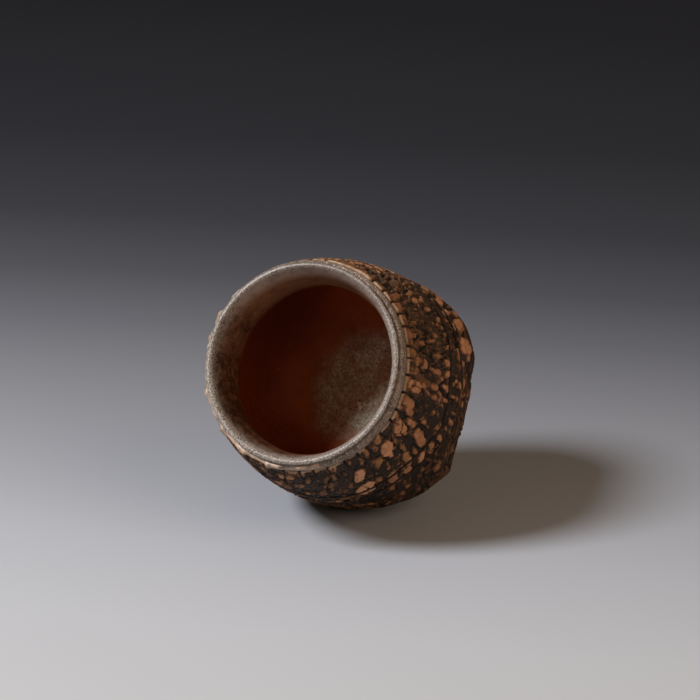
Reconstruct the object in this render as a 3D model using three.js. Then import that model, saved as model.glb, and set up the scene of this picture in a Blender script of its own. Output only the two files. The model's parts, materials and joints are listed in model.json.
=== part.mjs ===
// A small, thick-walled stoneware cup for sake, thrown on the wheel.
// The clay carries a thick slip skin that cracked and tore when the wall was stretched from inside,
// and a thin glaze over its lip and inside. It stands on a turned foot ring.
// Sizes are in millimetres. +Z is up through the mouth, and the origin is the middle of the foot's
// underside.

import * as THREE from 'three';
import { mergeVertices } from 'three/addons/utils/BufferGeometryUtils.js';

// Overall
const cupHeight = 60;             // standing face to the top of the lip
const layerGap = 0.1;             // left between the body and its glaze and foot, which are fired onto it
const skinGap = 0.3;              // left between the body and its skin

// Foot ring
const footRadius = 21;            // outside, where it meets the body
const footWidth = 4.2;            // outside to inside at the top
const footHeight = 4.2;           // standing face to the body's underside
const footTaper = 0.7;            // how far each side leans in on the way down
const footEdge = 0.5;             // bevel round the standing face
const recessDepth = 5.0;          // standing face to the body's underside inside the ring
const floorThickness = 5.2;       // clay and glaze over the recess

// Outside of the finished skin
const bellyRadius = 36;           // the widest the cup gets
const bellyHeight = 18;           // above it the wall draws in towards the shoulder
const shoulderStep = 2.6;         // torn edge's radius, outside that of the lip's crest
const skinEdgeDrop = 4.9;         // lip's crest down to the skin's torn edge
const shoulderCurve = 2;          // power of the barrel curve between belly and shoulder
const turnHeight = 12;            // below it the wall turns under
const baseInset = 2.2;            // how far the skin's lower edge lies in from the belly
const baseHeight = 4.2;           // standing face to the skin's lower edge
const baseCurve = 2;              // power of the turn under the belly
const undersideRise = 0.4;        // how far the bare underside lies above the skin's lower edge

// Lip, throat and bowl
const lipRadius = 28.3;           // at the crest
const lipRound = 1.0;             // crest out to the lip's side, and down to it
const lineDrop = 1.6;             // crest down to the thin line under the lip
const lineDepth = 0.3;            // of that line
const collarStep = 2.0;           // crest out to the low collar under the line
const collarDrop = 3.1;           // crest down to the middle of the collar
const throatStep = 3.5;           // crest in to the narrowest place
const throatDrop = 12;            // crest down to it
const bowlWall = 6.6;             // belly's outside to the bowl's inside
const bowlHeight = 29;            // where the bowl is widest
const glazeThickness = 0.5;
const glazeEndGap = 0.35;         // bare clay between the glaze and the torn edge

// Skin
const skinThickness = 1.5;
const gatherHeight = 28;          // below it the skin thickens, straight down to its lower edge
const gatherThickness = 5.3;      // at the lower edge
const grooveWidth = 0.8;
const grooveBevel = 0.35;         // how far the skin rounds in beside a groove
const groundDepth = 0.42;         // islands stand this far above the ground between them
const crackDepth = 0.95;          // cracks between the plates of the torn edge
const crackWidth = 0.7;
const plateCount = 42;            // plates along the torn edge
const plateLength = 3.4;          // from the torn edge down to the crack under them
const tearDepth = 0.7;            // how unevenly the plates end
const notchDepth = 1.3;           // how far a crack opens the torn edge
const cellCount = 48;             // cells round the cup, each an island or ground, below the upper groove
const islandShare = 0.36;         // share of the cells that stand up as islands
const islandEdge = 0.1;           // slope beside an island, as a share of its cell

// The large islands of the side that was drawn from the real cup: degrees round the cup, the lip's
// crest down to the island's middle, and its width and height. Elsewhere islands stand by chance.
const drawnFrom = -141;
const drawnTo = -4;
const largeIslands = [
  [-74, 10, 3.4, 7], [-84, 9, 3.2, 6], [-96.4, 11, 4.2, 6.4], [-109.5, 13, 4.2, 8],
  [-117, 14.3, 2.6, 4.2], [-129.5, 16, 3.8, 8.6], [-133, 25.5, 4.8, 11.5], [-96.3, 22.8, 3.4, 9.4],
  [-107.5, 22.8, 2.2, 5.4], [-63, 22, 2.2, 6], [-70, 23, 2.2, 7], [-24, 20, 2.4, 5],
  [-61.5, 11, 2.8, 4], [-46.5, 7.5, 3, 5], [-112, 29.5, 4, 4.6], [-120.5, 28, 3.8, 7.2],
  [-94, 32.5, 2.6, 4.6], [-65, 35.5, 2, 4], [-82.7, 35.5, 2, 4], [-49.6, 36.8, 2.4, 2.4],
  [-45.2, 43.4, 5.4, 8.6], [-34, 44.5, 4, 6], [-28.2, 39.8, 2.8, 4.2], [-21, 41.2, 3, 5],
  [-16.5, 46, 3.2, 5.4], [-11.6, 41, 3.2, 6], [-62.8, 42.2, 3.4, 3.8], [-68.7, 39.6, 3.4, 2.8],
];

// The two grooves were cut by hand and wander: degrees round the cup, and the lip's crest down to each
const upperGroove = [
  [-180, 27.5], [-150, 27], [-112, 25.8], [-100, 27.6], [-88, 30.8], [-78, 29.8], [-68, 28.5], [-50, 30],
  [-38, 32.2], [-20, 33], [15, 30], [45, 28.5], [80, 29.5], [115, 28], [150, 27],
];
const lowerGroove = [
  [-180, 34.5], [-150, 33], [-118, 31.2], [-105, 33], [-96, 35.6], [-82, 42], [-66, 39.5],
  [-50, 37.7], [-25, 39], [0, 38], [30, 36.5], [70, 38.5], [110, 37], [150, 35],
];

// Lumps and dents of the wall's lower part, where the cup was handled wet: degrees, and how far out
const lumps = [
  [-180, -0.5], [-150, -0.5], [-135, 0.1], [-118, 1.3], [-105, 1.0], [-90, -1.2], [-75, -2.2],
  [-60, -1.4], [-45, 1.0], [-30, 1.6], [-15, 0.9], [0, 0.1], [20, 0.7], [45, -1.2], [70, -0.3],
  [95, -0.1], [118, 0.5], [138, 1.1], [160, -0.2],
];
const lumpTop = 24;               // they fade in from this height
const lumpFull = 14;              // and are full from this one down

// A knob of slip near the lower edge and the dent over it: degrees round the cup, height, how far out,
// and how far it reaches before it has mostly faded
const knobs = [[-105, 6.5, 0.9, 3.2], [-97, 13, -1.0, 2.6]];

// Fineness of the faceted surfaces
const turnedSides = 42;           // round the body, glaze and foot
const cellPitch = (2 * Math.PI) / cellCount;
const waistCellRows = 2;          // rows of islands in the two lower bands
const baseCellRows = 4;

// Places that follow from the sizes
const shoulderHeight = cupHeight - skinEdgeDrop;
const shoulderRadius = lipRadius + shoulderStep;
const baseRadius = bellyRadius - baseInset;
const bowlRadius = bellyRadius - bowlWall;
const throatRadius = lipRadius - throatStep;
const throatHeight = cupHeight - throatDrop;
const floorTop = recessDepth + floorThickness;
const glazeEnd = shoulderHeight + glazeEndGap;

const { lerp, smoothstep, radToDeg, degToRad, euclideanModulo } = THREE.MathUtils;
const degreesRound = (angle) => euclideanModulo(radToDeg(angle) + 180, 360) - 180;

// A value from 0 to 1 that looks random and is the same each time
function scatter(a, b, c = 0) {
  const s = Math.sin(a * 12.9898 + b * 78.233 + c * 37.719) * 43758.5453;
  return s - Math.floor(s);
}

// Radius of the skin's outside at a height: a barrel curve above the belly, a tighter turn under it
function outsideRadius(z) {
  if (z > bellyHeight) {
    const rise = (z - bellyHeight) / (shoulderHeight - bellyHeight);
    return bellyRadius - (bellyRadius - shoulderRadius) * rise ** shoulderCurve;
  }
  const fall = Math.max(0, turnHeight - z) / (turnHeight - baseHeight);
  return bellyRadius - (bellyRadius - baseRadius) * fall ** baseCurve;
}

// Radius of the skin's inside: even under the skin, and a straight cone where the skin gathers
function innerSkinRadius(z) {
  if (z > gatherHeight) return outsideRadius(z) - skinThickness;
  const fall = (gatherHeight - z) / (gatherHeight - baseHeight);
  return lerp(outsideRadius(gatherHeight) - skinThickness, baseRadius - gatherThickness, fall);
}

// The clay body's outside, just inside the skin
const bodyRadius = (z) => innerSkinRadius(z) - skinGap;

// A value that goes round the cup, eased from each listed direction to the next
function around(list, angle) {
  const turn = degreesRound(angle);
  let last = list.length - 1;
  while (last > 0 && list[last][0] > turn) last -= 1;
  const [fromAngle, fromValue] = list[last];
  const [toAngle, toValue] = list[last + 1] ?? [list[0][0] + 360, list[0][1]];
  return lerp(fromValue, toValue, smoothstep(turn, fromAngle, toAngle));
}

// How far the lumps and knobs stand out in a direction at a height
function lumpOut(angle, z) {
  const knobOut = knobs.reduce((sum, [turn, height, out, reach]) => {
    const aside = degToRad(degreesRound(angle) - turn) * bellyRadius;
    return sum + out * Math.exp(-(aside ** 2 + (z - height) ** 2) / reach ** 2);
  }, 0);
  return around(lumps, angle) * (1 - smoothstep(z, lumpFull, lumpTop)) + knobOut;
}

const upperGrooveHeight = (angle) => cupHeight - around(upperGroove, angle);
const lowerGrooveHeight = (angle) => cupHeight - around(lowerGroove, angle);

// The glazed surface from the middle of the floor, up the bowl, through the throat, over the lip
// and down to the collar. Curves only, so that each layer can follow it.
function glazedSurface() {
  const path = new THREE.Path();
  const bowlRise = bowlHeight - floorTop;
  const neckRise = throatHeight - bowlHeight;
  path.moveTo(0, floorTop);
  path.bezierCurveTo(
    bowlRadius * 0.66, floorTop,
    bowlRadius, floorTop + bowlRise * 0.3,
    bowlRadius, bowlHeight,
  );
  path.bezierCurveTo(
    bowlRadius, bowlHeight + neckRise * 0.5,
    throatRadius, throatHeight - neckRise * 0.4,
    throatRadius, throatHeight,
  );
  path.bezierCurveTo(
    throatRadius, throatHeight + throatDrop * 0.42,
    lipRadius - throatStep * 0.4, cupHeight,
    lipRadius, cupHeight,
  );
  path.bezierCurveTo(
    lipRadius + lipRound * 0.7, cupHeight,
    lipRadius + lipRound, cupHeight - lipRound * 0.5,
    lipRadius + lipRound, cupHeight - lipRound,
  );
  path.lineTo(lipRadius + lipRound - lineDepth, cupHeight - lineDrop);
  path.bezierCurveTo(
    lipRadius + lipRound, cupHeight - lineDrop,
    lipRadius + collarStep, cupHeight - lerp(lineDrop, collarDrop, 0.4),
    lipRadius + collarStep, cupHeight - collarDrop,
  );
  path.lineTo(lipRadius + collarStep - 0.05, glazeEnd);
  const steps = [6, 4, 4, 2, 1, 2, 1];
  const points = [new THREE.Vector2(0, floorTop)];
  path.curves.forEach((curve, i) => points.push(...curve.getPoints(steps[i]).slice(1)));
  return points;
}

// The same run of points, moved into the clay by a distance
function sunk(points, distance) {
  return points.map((point, i) => {
    const before = points[Math.max(0, i - 1)];
    const after = points[Math.min(points.length - 1, i + 1)];
    const along = new THREE.Vector2().subVectors(after, before).normalize();
    const moved = new THREE.Vector2(point.x + along.y * distance, point.y - along.x * distance);
    if (i === 0) moved.set(0, point.y - distance);
    if (i === points.length - 1) moved.y = point.y;
    return moved;
  });
}

// A solid turned on the cup's axis from a profile of radius and height
function turned(profile) {
  const lathe = new THREE.LatheGeometry(profile, turnedSides);
  lathe.rotateX(Math.PI / 2);
  return welded(lathe);
}

// Only places are kept, with doubles merged, and the shading is worked out again
function welded(geometry) {
  geometry.deleteAttribute('normal');
  geometry.deleteAttribute('uv');
  const merged = mergeVertices(geometry, 1e-4);
  merged.computeVertexNormals();
  return merged;
}

// A closed ring of skin: each column round the cup is a loop of points, out down the face and
// back up the inside, and neighbouring loops are joined by quads
function ring(columns, loopAt) {
  const loops = Array.from({ length: columns }, (_, j) => loopAt(j));
  const count = loops[0].length;
  const positions = [];
  for (const loop of loops) {
    for (const { angle, radius, z } of loop) {
      positions.push(radius * Math.cos(angle), radius * Math.sin(angle), z);
    }
  }
  const index = [];
  for (let j = 0; j < columns; j++) {
    const next = (j + 1) % columns;
    for (let i = 0; i < count; i++) {
      const below = (i + 1) % count;
      const a = j * count + i;
      const b = j * count + below;
      const c = next * count + below;
      const d = next * count + i;
      index.push(a, b, c, a, c, d);
    }
  }
  const geometry = new THREE.BufferGeometry();
  geometry.setAttribute('position', new THREE.Float32BufferAttribute(positions, 3));
  geometry.setIndex(index);
  geometry.computeVertexNormals();
  return geometry;
}

// Points up the inside of a skin ring, from its lower edge to its upper one
function insideOf(angle, bottom, top, rows) {
  return Array.from({ length: rows }, (_, i) => {
    const z = lerp(bottom, top, i / (rows - 1));
    return { angle, radius: innerSkinRadius(z), z };
  });
}

// Depth of a cell of the skin: none where it stands up as an island, because one of the large islands
// lies in it or, on the sides that weren't drawn, by chance
function cellCut(angle, z, wide, tall, chance) {
  const turn = degreesRound(angle);
  const drawn = turn > drawnFrom && turn < drawnTo;
  const holdsOne = largeIslands.some(([at, drop, islandWide, islandTall]) => (
    Math.abs(degToRad(turn - at) * bellyRadius) < Math.max(wide, islandWide) / 2
    && Math.abs(cupHeight - z - drop) < Math.max(tall, islandTall) / 2
  ));
  return (drawn ? holdsOne : chance < islandShare) ? 0 : groundDepth;
}

// Skin from its torn upper edge down to the upper groove. Every third column is a crack between two
// plates of the torn edge: it notches the edge, and runs down until it fades into the ground.
function shoulderSkin() {
  const pitch = (2 * Math.PI) / plateCount;
  const halfCrack = crackWidth / 2 / shoulderRadius;
  const crackAngle = (plate) => (plate + 0.4 * (scatter(plate % plateCount, 1) - 0.5)) * pitch;
  const plateRows = [0, 0.45, plateLength - 0.7, plateLength, plateLength + 0.7];
  const lowerRows = 5;
  return ring(plateCount * 3, (column) => {
    const plate = Math.floor(column / 3);
    const place = column % 3;
    const inCrack = place === 0;
    const straight = [
      crackAngle(plate), crackAngle(plate) + halfCrack, crackAngle(plate + 1) - halfCrack,
    ][place];
    const edge = shoulderHeight - tearDepth * scatter(plate, 3) - (inCrack ? notchDepth : 0);
    const bottom = upperGrooveHeight(straight) + grooveWidth / 2;
    const lastPlateRow = edge - plateRows.at(-1) * (inCrack ? 0.62 : 1);
    const loop = plateRows.map((drop, row) => {
      let cut = [0.25, 0, 0, groundDepth + 0.2, groundDepth][row];
      if (inCrack) cut = crackDepth;
      const z = edge - drop * (inCrack ? 0.62 : 1);
      return { angle: straight, radius: outsideRadius(z) - cut, z };
    });
    const tall = (lastPlateRow - bottom) / lowerRows;
    for (let row = 1; row <= lowerRows; row++) {
      const z = lastPlateRow - row * tall;
      const wander = (0.9 / bellyRadius) * Math.sin(row * 1.7 + 6 * scatter(plate, 4));
      const middle = (plate + 0.5) * pitch;
      let cut = cellCut(middle, z, pitch * bellyRadius, tall, scatter(plate, row, 2));
      if (inCrack) cut = groundDepth;
      if (row === lowerRows) cut = grooveBevel;
      const angle = row === lowerRows ? straight : straight + wander;
      loop.push({ angle, radius: outsideRadius(z) - cut, z });
    }
    const inner = (column * pitch) / 3;
    return [...loop, ...insideOf(inner, upperGrooveHeight(inner) + grooveWidth / 2, edge, 5)];
  });
}

// A band of skin below the shoulder: a loose grid of cells, each an island's flat top or the ground.
// A cell is two columns wide and two rows tall, with steep slopes between it and its neighbours.
function lowerBand(topAt, bottomAt, cellRows, innerRows, seed, cutAtBottom) {
  return ring(2 * cellCount, (column) => {
    const cell = Math.floor(column / 2);
    const side = column % 2 === 0 ? islandEdge : 1 - islandEdge;
    const inner = (cell + side) * cellPitch;
    const top = topAt(inner);
    const bottom = bottomAt(inner);
    const outer = (share, cut, sway) => {
      const z = lerp(top, bottom, share);
      const angle = inner + sway * cellPitch;
      return { angle, radius: outsideRadius(z) + lumpOut(angle, z) - cut, z };
    };
    const loop = [outer(0, grooveBevel, 0)];
    for (let row = 0; row < cellRows; row++) {
      const shift = 0.5 * (scatter(cell, row, seed + 1) - 0.5) + 0.5;
      const sway = 0.5 * (scatter(cell, row, seed + 2) - 0.5);
      const middle = lerp(top, bottom, (row + shift) / cellRows);
      const tall = (top - bottom) / cellRows;
      const chance = scatter(cell, row, seed);
      const cut = cellCut((cell + 0.5 + sway) * cellPitch, middle, cellPitch * bellyRadius, tall, chance);
      const rise = 0.5 - islandEdge - 0.12;
      loop.push(outer((row + shift - rise) / cellRows, cut, sway));
      loop.push(outer((row + shift + rise) / cellRows, cut, sway));
    }
    loop.push(outer(1, cutAtBottom, 0));
    return [...loop, ...insideOf(inner, bottom, top, innerRows)];
  });
}

// Skin between the two grooves
function waistSkin() {
  const topAt = (angle) => upperGrooveHeight(angle) - grooveWidth / 2;
  const bottomAt = (angle) => lowerGrooveHeight(angle) + grooveWidth / 2;
  return lowerBand(topAt, bottomAt, waistCellRows, 4, 3, grooveBevel);
}

// Skin from the lower groove to its thick lower edge, which turns under the belly
function baseSkin() {
  const topAt = (angle) => lowerGrooveHeight(angle) - grooveWidth / 2;
  const bottomAt = (angle) => baseHeight + undersideRise * scatter(Math.floor(angle / cellPitch), 9);
  return lowerBand(topAt, bottomAt, baseCellRows, 3, 6, 0);
}

// Thrown clay: the bowl and lip under the glaze, the wall under the skin, and the bare underside
function clayBody() {
  const inside = sunk(glazedSurface(), glazeThickness + layerGap);
  const baseZ = baseHeight + undersideRise;
  const wallSteps = 6;
  const wallHeights = Array.from({ length: wallSteps + 1 }, (_, i) => (
    lerp(shoulderHeight, gatherHeight, i / wallSteps)
  ));
  const wall = [...wallHeights, baseZ].map((z) => new THREE.Vector2(bodyRadius(z), z));
  const recessRadius = footRadius - footWidth;
  const underside = [
    [footRadius, footHeight + layerGap],
    [recessRadius - (recessDepth - footHeight), footHeight + layerGap],
    [recessRadius - 2 * (recessDepth - footHeight), recessDepth],
    [0, recessDepth],
  ].map(([radius, z]) => new THREE.Vector2(radius, z));
  return turned([...inside, ...wall, ...underside].reverse());
}

// Glaze over the inside, the lip and the collar
function linerGlaze() {
  const front = glazedSurface();
  const back = sunk(front, glazeThickness).reverse();
  return turned([...front, ...back].reverse());
}

// Foot ring, with leaning sides and a bevelled standing face
function footRing() {
  const inner = footRadius - footWidth;
  const profile = [
    [inner, footHeight],
    [inner + footTaper, footEdge],
    [inner + footTaper + footEdge, 0],
    [footRadius - footTaper - footEdge, 0],
    [footRadius - footTaper, footEdge],
    [footRadius, footHeight],
    [inner, footHeight],
  ].map(([radius, z]) => new THREE.Vector2(radius, z));
  return turned(profile);
}

const bareClay = { color: 0x6b4a35, roughness: 0.9, metalness: 0 };
const darkSkin = { color: 0x4a3c34, roughness: 0.85, metalness: 0 };
const redGlaze = { color: 0x5a2a18, roughness: 0.35, metalness: 0 };

const cup = new THREE.Group();
const pieces = [
  ['clay_body', clayBody(), bareClay],
  ['foot_ring', footRing(), bareClay],
  ['shoulder_skin', shoulderSkin(), darkSkin],
  ['waist_skin', waistSkin(), darkSkin],
  ['base_skin', baseSkin(), darkSkin],
  ['liner_glaze', linerGlaze(), redGlaze],
];
for (const [name, geometry, finish] of pieces) {
  const mesh = new THREE.Mesh(geometry, new THREE.MeshStandardMaterial(finish));
  mesh.name = name;
  cup.add(mesh);
}

export default cup;
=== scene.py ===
# A small, thick-walled stoneware cup for sake. Outside it has a dark crackled skin with raised tan
# islands, torn along its upper edge; inside and over the lip it has a thin dark red glaze.
import json
import math
from types import SimpleNamespace

import bpy
import numpy as np
from mathutils import Matrix, Vector

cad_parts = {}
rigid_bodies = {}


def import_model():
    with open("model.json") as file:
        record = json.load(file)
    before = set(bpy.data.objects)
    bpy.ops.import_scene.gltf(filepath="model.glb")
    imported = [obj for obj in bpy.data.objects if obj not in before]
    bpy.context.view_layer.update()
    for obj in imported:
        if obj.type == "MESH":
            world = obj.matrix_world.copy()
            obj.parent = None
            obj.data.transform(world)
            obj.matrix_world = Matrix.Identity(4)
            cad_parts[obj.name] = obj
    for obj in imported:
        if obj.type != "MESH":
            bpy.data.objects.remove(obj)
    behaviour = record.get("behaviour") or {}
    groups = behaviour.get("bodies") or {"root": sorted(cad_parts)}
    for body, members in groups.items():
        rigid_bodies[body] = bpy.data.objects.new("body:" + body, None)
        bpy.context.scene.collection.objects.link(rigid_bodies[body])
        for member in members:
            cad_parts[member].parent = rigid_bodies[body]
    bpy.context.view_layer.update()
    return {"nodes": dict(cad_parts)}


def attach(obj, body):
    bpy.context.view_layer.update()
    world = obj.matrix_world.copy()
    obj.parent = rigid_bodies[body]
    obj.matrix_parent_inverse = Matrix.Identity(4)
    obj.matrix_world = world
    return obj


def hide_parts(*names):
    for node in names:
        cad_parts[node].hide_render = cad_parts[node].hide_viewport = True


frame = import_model()
print("frame loaded:", ", ".join(sorted(frame["nodes"])))

mm = 0.001

# The cup's outside, in millimetres, as the solids have it. Drops are measured down from the lip's crest.
cup = {
    "height": 60.0,
    "bellyRadius": 36.0,
    "bellyHeight": 18.0,
    "shoulderRadius": 30.9,
    "skinEdgeDrop": 4.9,
    "shoulderCurve": 2.0,
    "turnHeight": 12.0,
    "baseRadius": 33.8,
    "baseHeight": 4.2,
    "baseCurve": 2.0,
}
girth = 2.0 * math.pi * cup["bellyRadius"]
shoulderHeight = cup["height"] - cup["skinEdgeDrop"]

# Two grooves cut by hand, and lumps of the lower wall: degrees round the cup, and millimetres
upperGroove = [
    (-180, 27.5), (-150, 27), (-112, 25.8), (-100, 27.6), (-88, 30.8), (-78, 29.8), (-68, 28.5),
    (-50, 30), (-38, 32.2), (-20, 33), (15, 30), (45, 28.5), (80, 29.5), (115, 28), (150, 27),
]
lowerGroove = [
    (-180, 34.5), (-150, 33), (-118, 31.2), (-105, 33), (-96, 35.6), (-82, 42), (-66, 39.5),
    (-50, 37.7), (-25, 39), (0, 38), (30, 36.5), (70, 38.5), (110, 37), (150, 35),
]
lumps = [
    (-180, -0.5), (-150, -0.5), (-135, 0.1), (-118, 1.3), (-105, 1.0), (-90, -1.2), (-75, -2.2),
    (-60, -1.4), (-45, 1.0), (-30, 1.6), (-15, 0.9), (0, 0.1), (20, 0.7), (45, -1.2), (70, -0.3),
    (95, -0.1), (118, 0.5), (138, 1.1), (160, -0.2),
]
lumpTop = 24.0        # height at which the lumps have died away
lumpFull = 14.0       # and below which they are at their full size

# A knob of slip and the dent over it: degrees round the cup, height, how far out, and how far it reaches
knobs = [(-105, 6.5, 0.9, 3.2), (-97, 13, -1.0, 2.6)]


def smooth(low, high, value):
    # 0 below low, 1 above high, and 3t^2 - 2t^3 between them
    t = np.clip((value - low) / (high - low), 0.0, 1.0)
    return t * t * (3.0 - 2.0 * t)


def window(value, rise, full, fall, gone):
    # from 0 to 1 between rise and full, and back to 0 between fall and gone
    return smooth(rise, full, value) * (1.0 - smooth(fall, gone, value))


def mixed(a, b, share):
    # straight from a to b
    return a + (b - a) * share


def directions(columns):
    # degrees round the cup, one for each column
    return np.linspace(-180.0, 180.0, columns, endpoint=False)


def facing(turn, towards):
    # 1 in that direction, 0 square to it and -1 on the far side
    return np.cos(np.radians(turn - towards))[None, :]


def roundTheCup(points, turn):
    # value at a direction: eased by 3t^2 - 2t^3 from each listed direction to the next, closed round
    turns = np.array([p[0] for p in points] + [points[0][0] + 360.0], float)
    values = np.array([p[1] for p in points] + [points[0][1]], float)
    turn = (turn + 180.0) % 360.0 - 180.0
    last = np.searchsorted(turns, turn, side="right") - 1
    share = smooth(0.0, 1.0, (turn - turns[last]) / (turns[last + 1] - turns[last]))
    return mixed(values[last], values[last + 1], share)


def outsideRadius(z):
    # above the belly, the belly's radius less a power of the height above it; below the turn, the
    # same downwards
    rise = np.clip((z - cup["bellyHeight"]) / (shoulderHeight - cup["bellyHeight"]), 0.0, 1.2)
    fall = np.clip((cup["turnHeight"] - z) / (cup["turnHeight"] - cup["baseHeight"]), 0.0, 1.2)
    upper = (cup["bellyRadius"] - cup["shoulderRadius"]) * rise ** cup["shoulderCurve"]
    lower = (cup["bellyRadius"] - cup["baseRadius"]) * fall ** cup["baseCurve"]
    return cup["bellyRadius"] - upper - lower


def softNoise(around, down, wide, tall, seed):
    # random numbers from -1 to 1 on a lattice that closes round the cup, blended by 3t^2 - 2t^3
    count = max(3, round(girth / wide))
    rows = int(90.0 / tall) + 4
    lattice = np.random.default_rng(seed).random((rows, count)) * 2.0 - 1.0
    u = around / girth * count
    v = (down + 12.0) / tall
    column = np.floor(u).astype(int)
    row = np.clip(np.floor(v).astype(int), 0, rows - 2)
    across = smooth(0.0, 1.0, u - column)
    along = smooth(0.0, 1.0, v - row)
    left = column % count
    right = (column + 1) % count
    top = mixed(lattice[row, left], lattice[row, right], across)
    bottom = mixed(lattice[row + 1, left], lattice[row + 1, right], across)
    return mixed(top, bottom, along)


def roughNoise(around, down, wide, tall, octaves, seed):
    # soft noise plus the same at half the size and half the strength, and so on
    total = 0.0
    for octave in range(octaves):
        size = 0.5 ** octave
        total = total + size * softNoise(around, down, wide * size, tall * size, seed + octave)
    return total


def brokenCells(around, down, wide, tall, seed):
    # One scattered point in each box of a lattice. gap: how much nearer the nearest point is than the
    # second nearest, counted in boxes; aside and below: the way to the nearest in mm; mark: its three
    # random numbers.
    count = round(girth / wide)
    rows = int(90.0 / tall) + 4
    random = np.random.default_rng(seed)
    places = random.random((rows, count, 2)) * 0.84 + 0.08
    marks = random.random((rows, count, 3))
    u = around / girth * count
    v = (down + 12.0) / tall
    column = np.floor(u).astype(int)
    row = np.floor(v).astype(int)
    nearest = np.full(u.shape, 9.0)
    second = np.full(u.shape, 9.0)
    mark = np.zeros(u.shape + (3,))
    aside = np.zeros(u.shape)
    below = np.zeros(u.shape)
    for rowStep in (-1, 0, 1):
        for columnStep in (-1, 0, 1):
            r = np.clip(row + rowStep, 0, rows - 1)
            c = (column + columnStep) % count
            x = column + columnStep + places[r, c, 0] - u
            y = row + rowStep + places[r, c, 1] - v
            apart = np.hypot(x, y)
            closer = apart < nearest
            aside = np.where(closer, x, aside)
            below = np.where(closer, y, below)
            second = np.where(closer, nearest, np.minimum(second, apart))
            mark = np.where(closer[..., None], marks[r, c], mark)
            nearest = np.where(closer, apart, nearest)
    return SimpleNamespace(
        gap=second - nearest, aside=aside * girth / count, below=below * tall, mark=mark)


def scatter(a, b, c):
    # a value from 0 to 1 that looks random: the fraction of a large multiple of a sine
    value = np.sin(a * 12.9898 + b * 78.233 + c * 37.719) * 43758.5453
    return value - np.floor(value)


offIslands = -9.0        # mm inside an island, where none is near

# Below the upper groove the solids have a loose grid of cells, and some of them stand up as islands
cells = {
    "count": 48,              # round the cup
    "share": 0.36,            # of them that stand up, outside the view
    "halfWide": 0.46,         # of an island, in cells
    "halfTall": 0.38,
}


def cellIslands(across, row, rows, seed):
    # mm inside (+) or outside (-) the rounded boxes that stand up by chance, with across in cells
    # round the cup and row in cells down the band
    best = np.full(across.shape, offIslands)
    for cellStep in (-1, 0, 1):
        for rowStep in (-1, 0, 1):
            start = np.floor(across) + cellStep
            below = np.floor(row) + rowStep
            cell = start % cells["count"]
            sway = 0.5 * (scatter(cell, below, seed + 2) - 0.5)
            shift = 0.5 * (scatter(cell, below, seed + 1) - 0.5)
            aside = np.abs(across - start - 0.5 - sway) / cells["halfWide"]
            down = np.abs(row - below - 0.5 - shift) / cells["halfTall"]
            inside = (1.0 - (aside ** 4 + down ** 4) ** 0.25) * cells["halfWide"]
            inside = inside * girth / cells["count"]
            stands = (scatter(cell, below, seed) < cells["share"]) & (below >= 0) & (below < rows)
            best = np.where(stands & (inside > best), inside, best)
    return best


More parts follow.
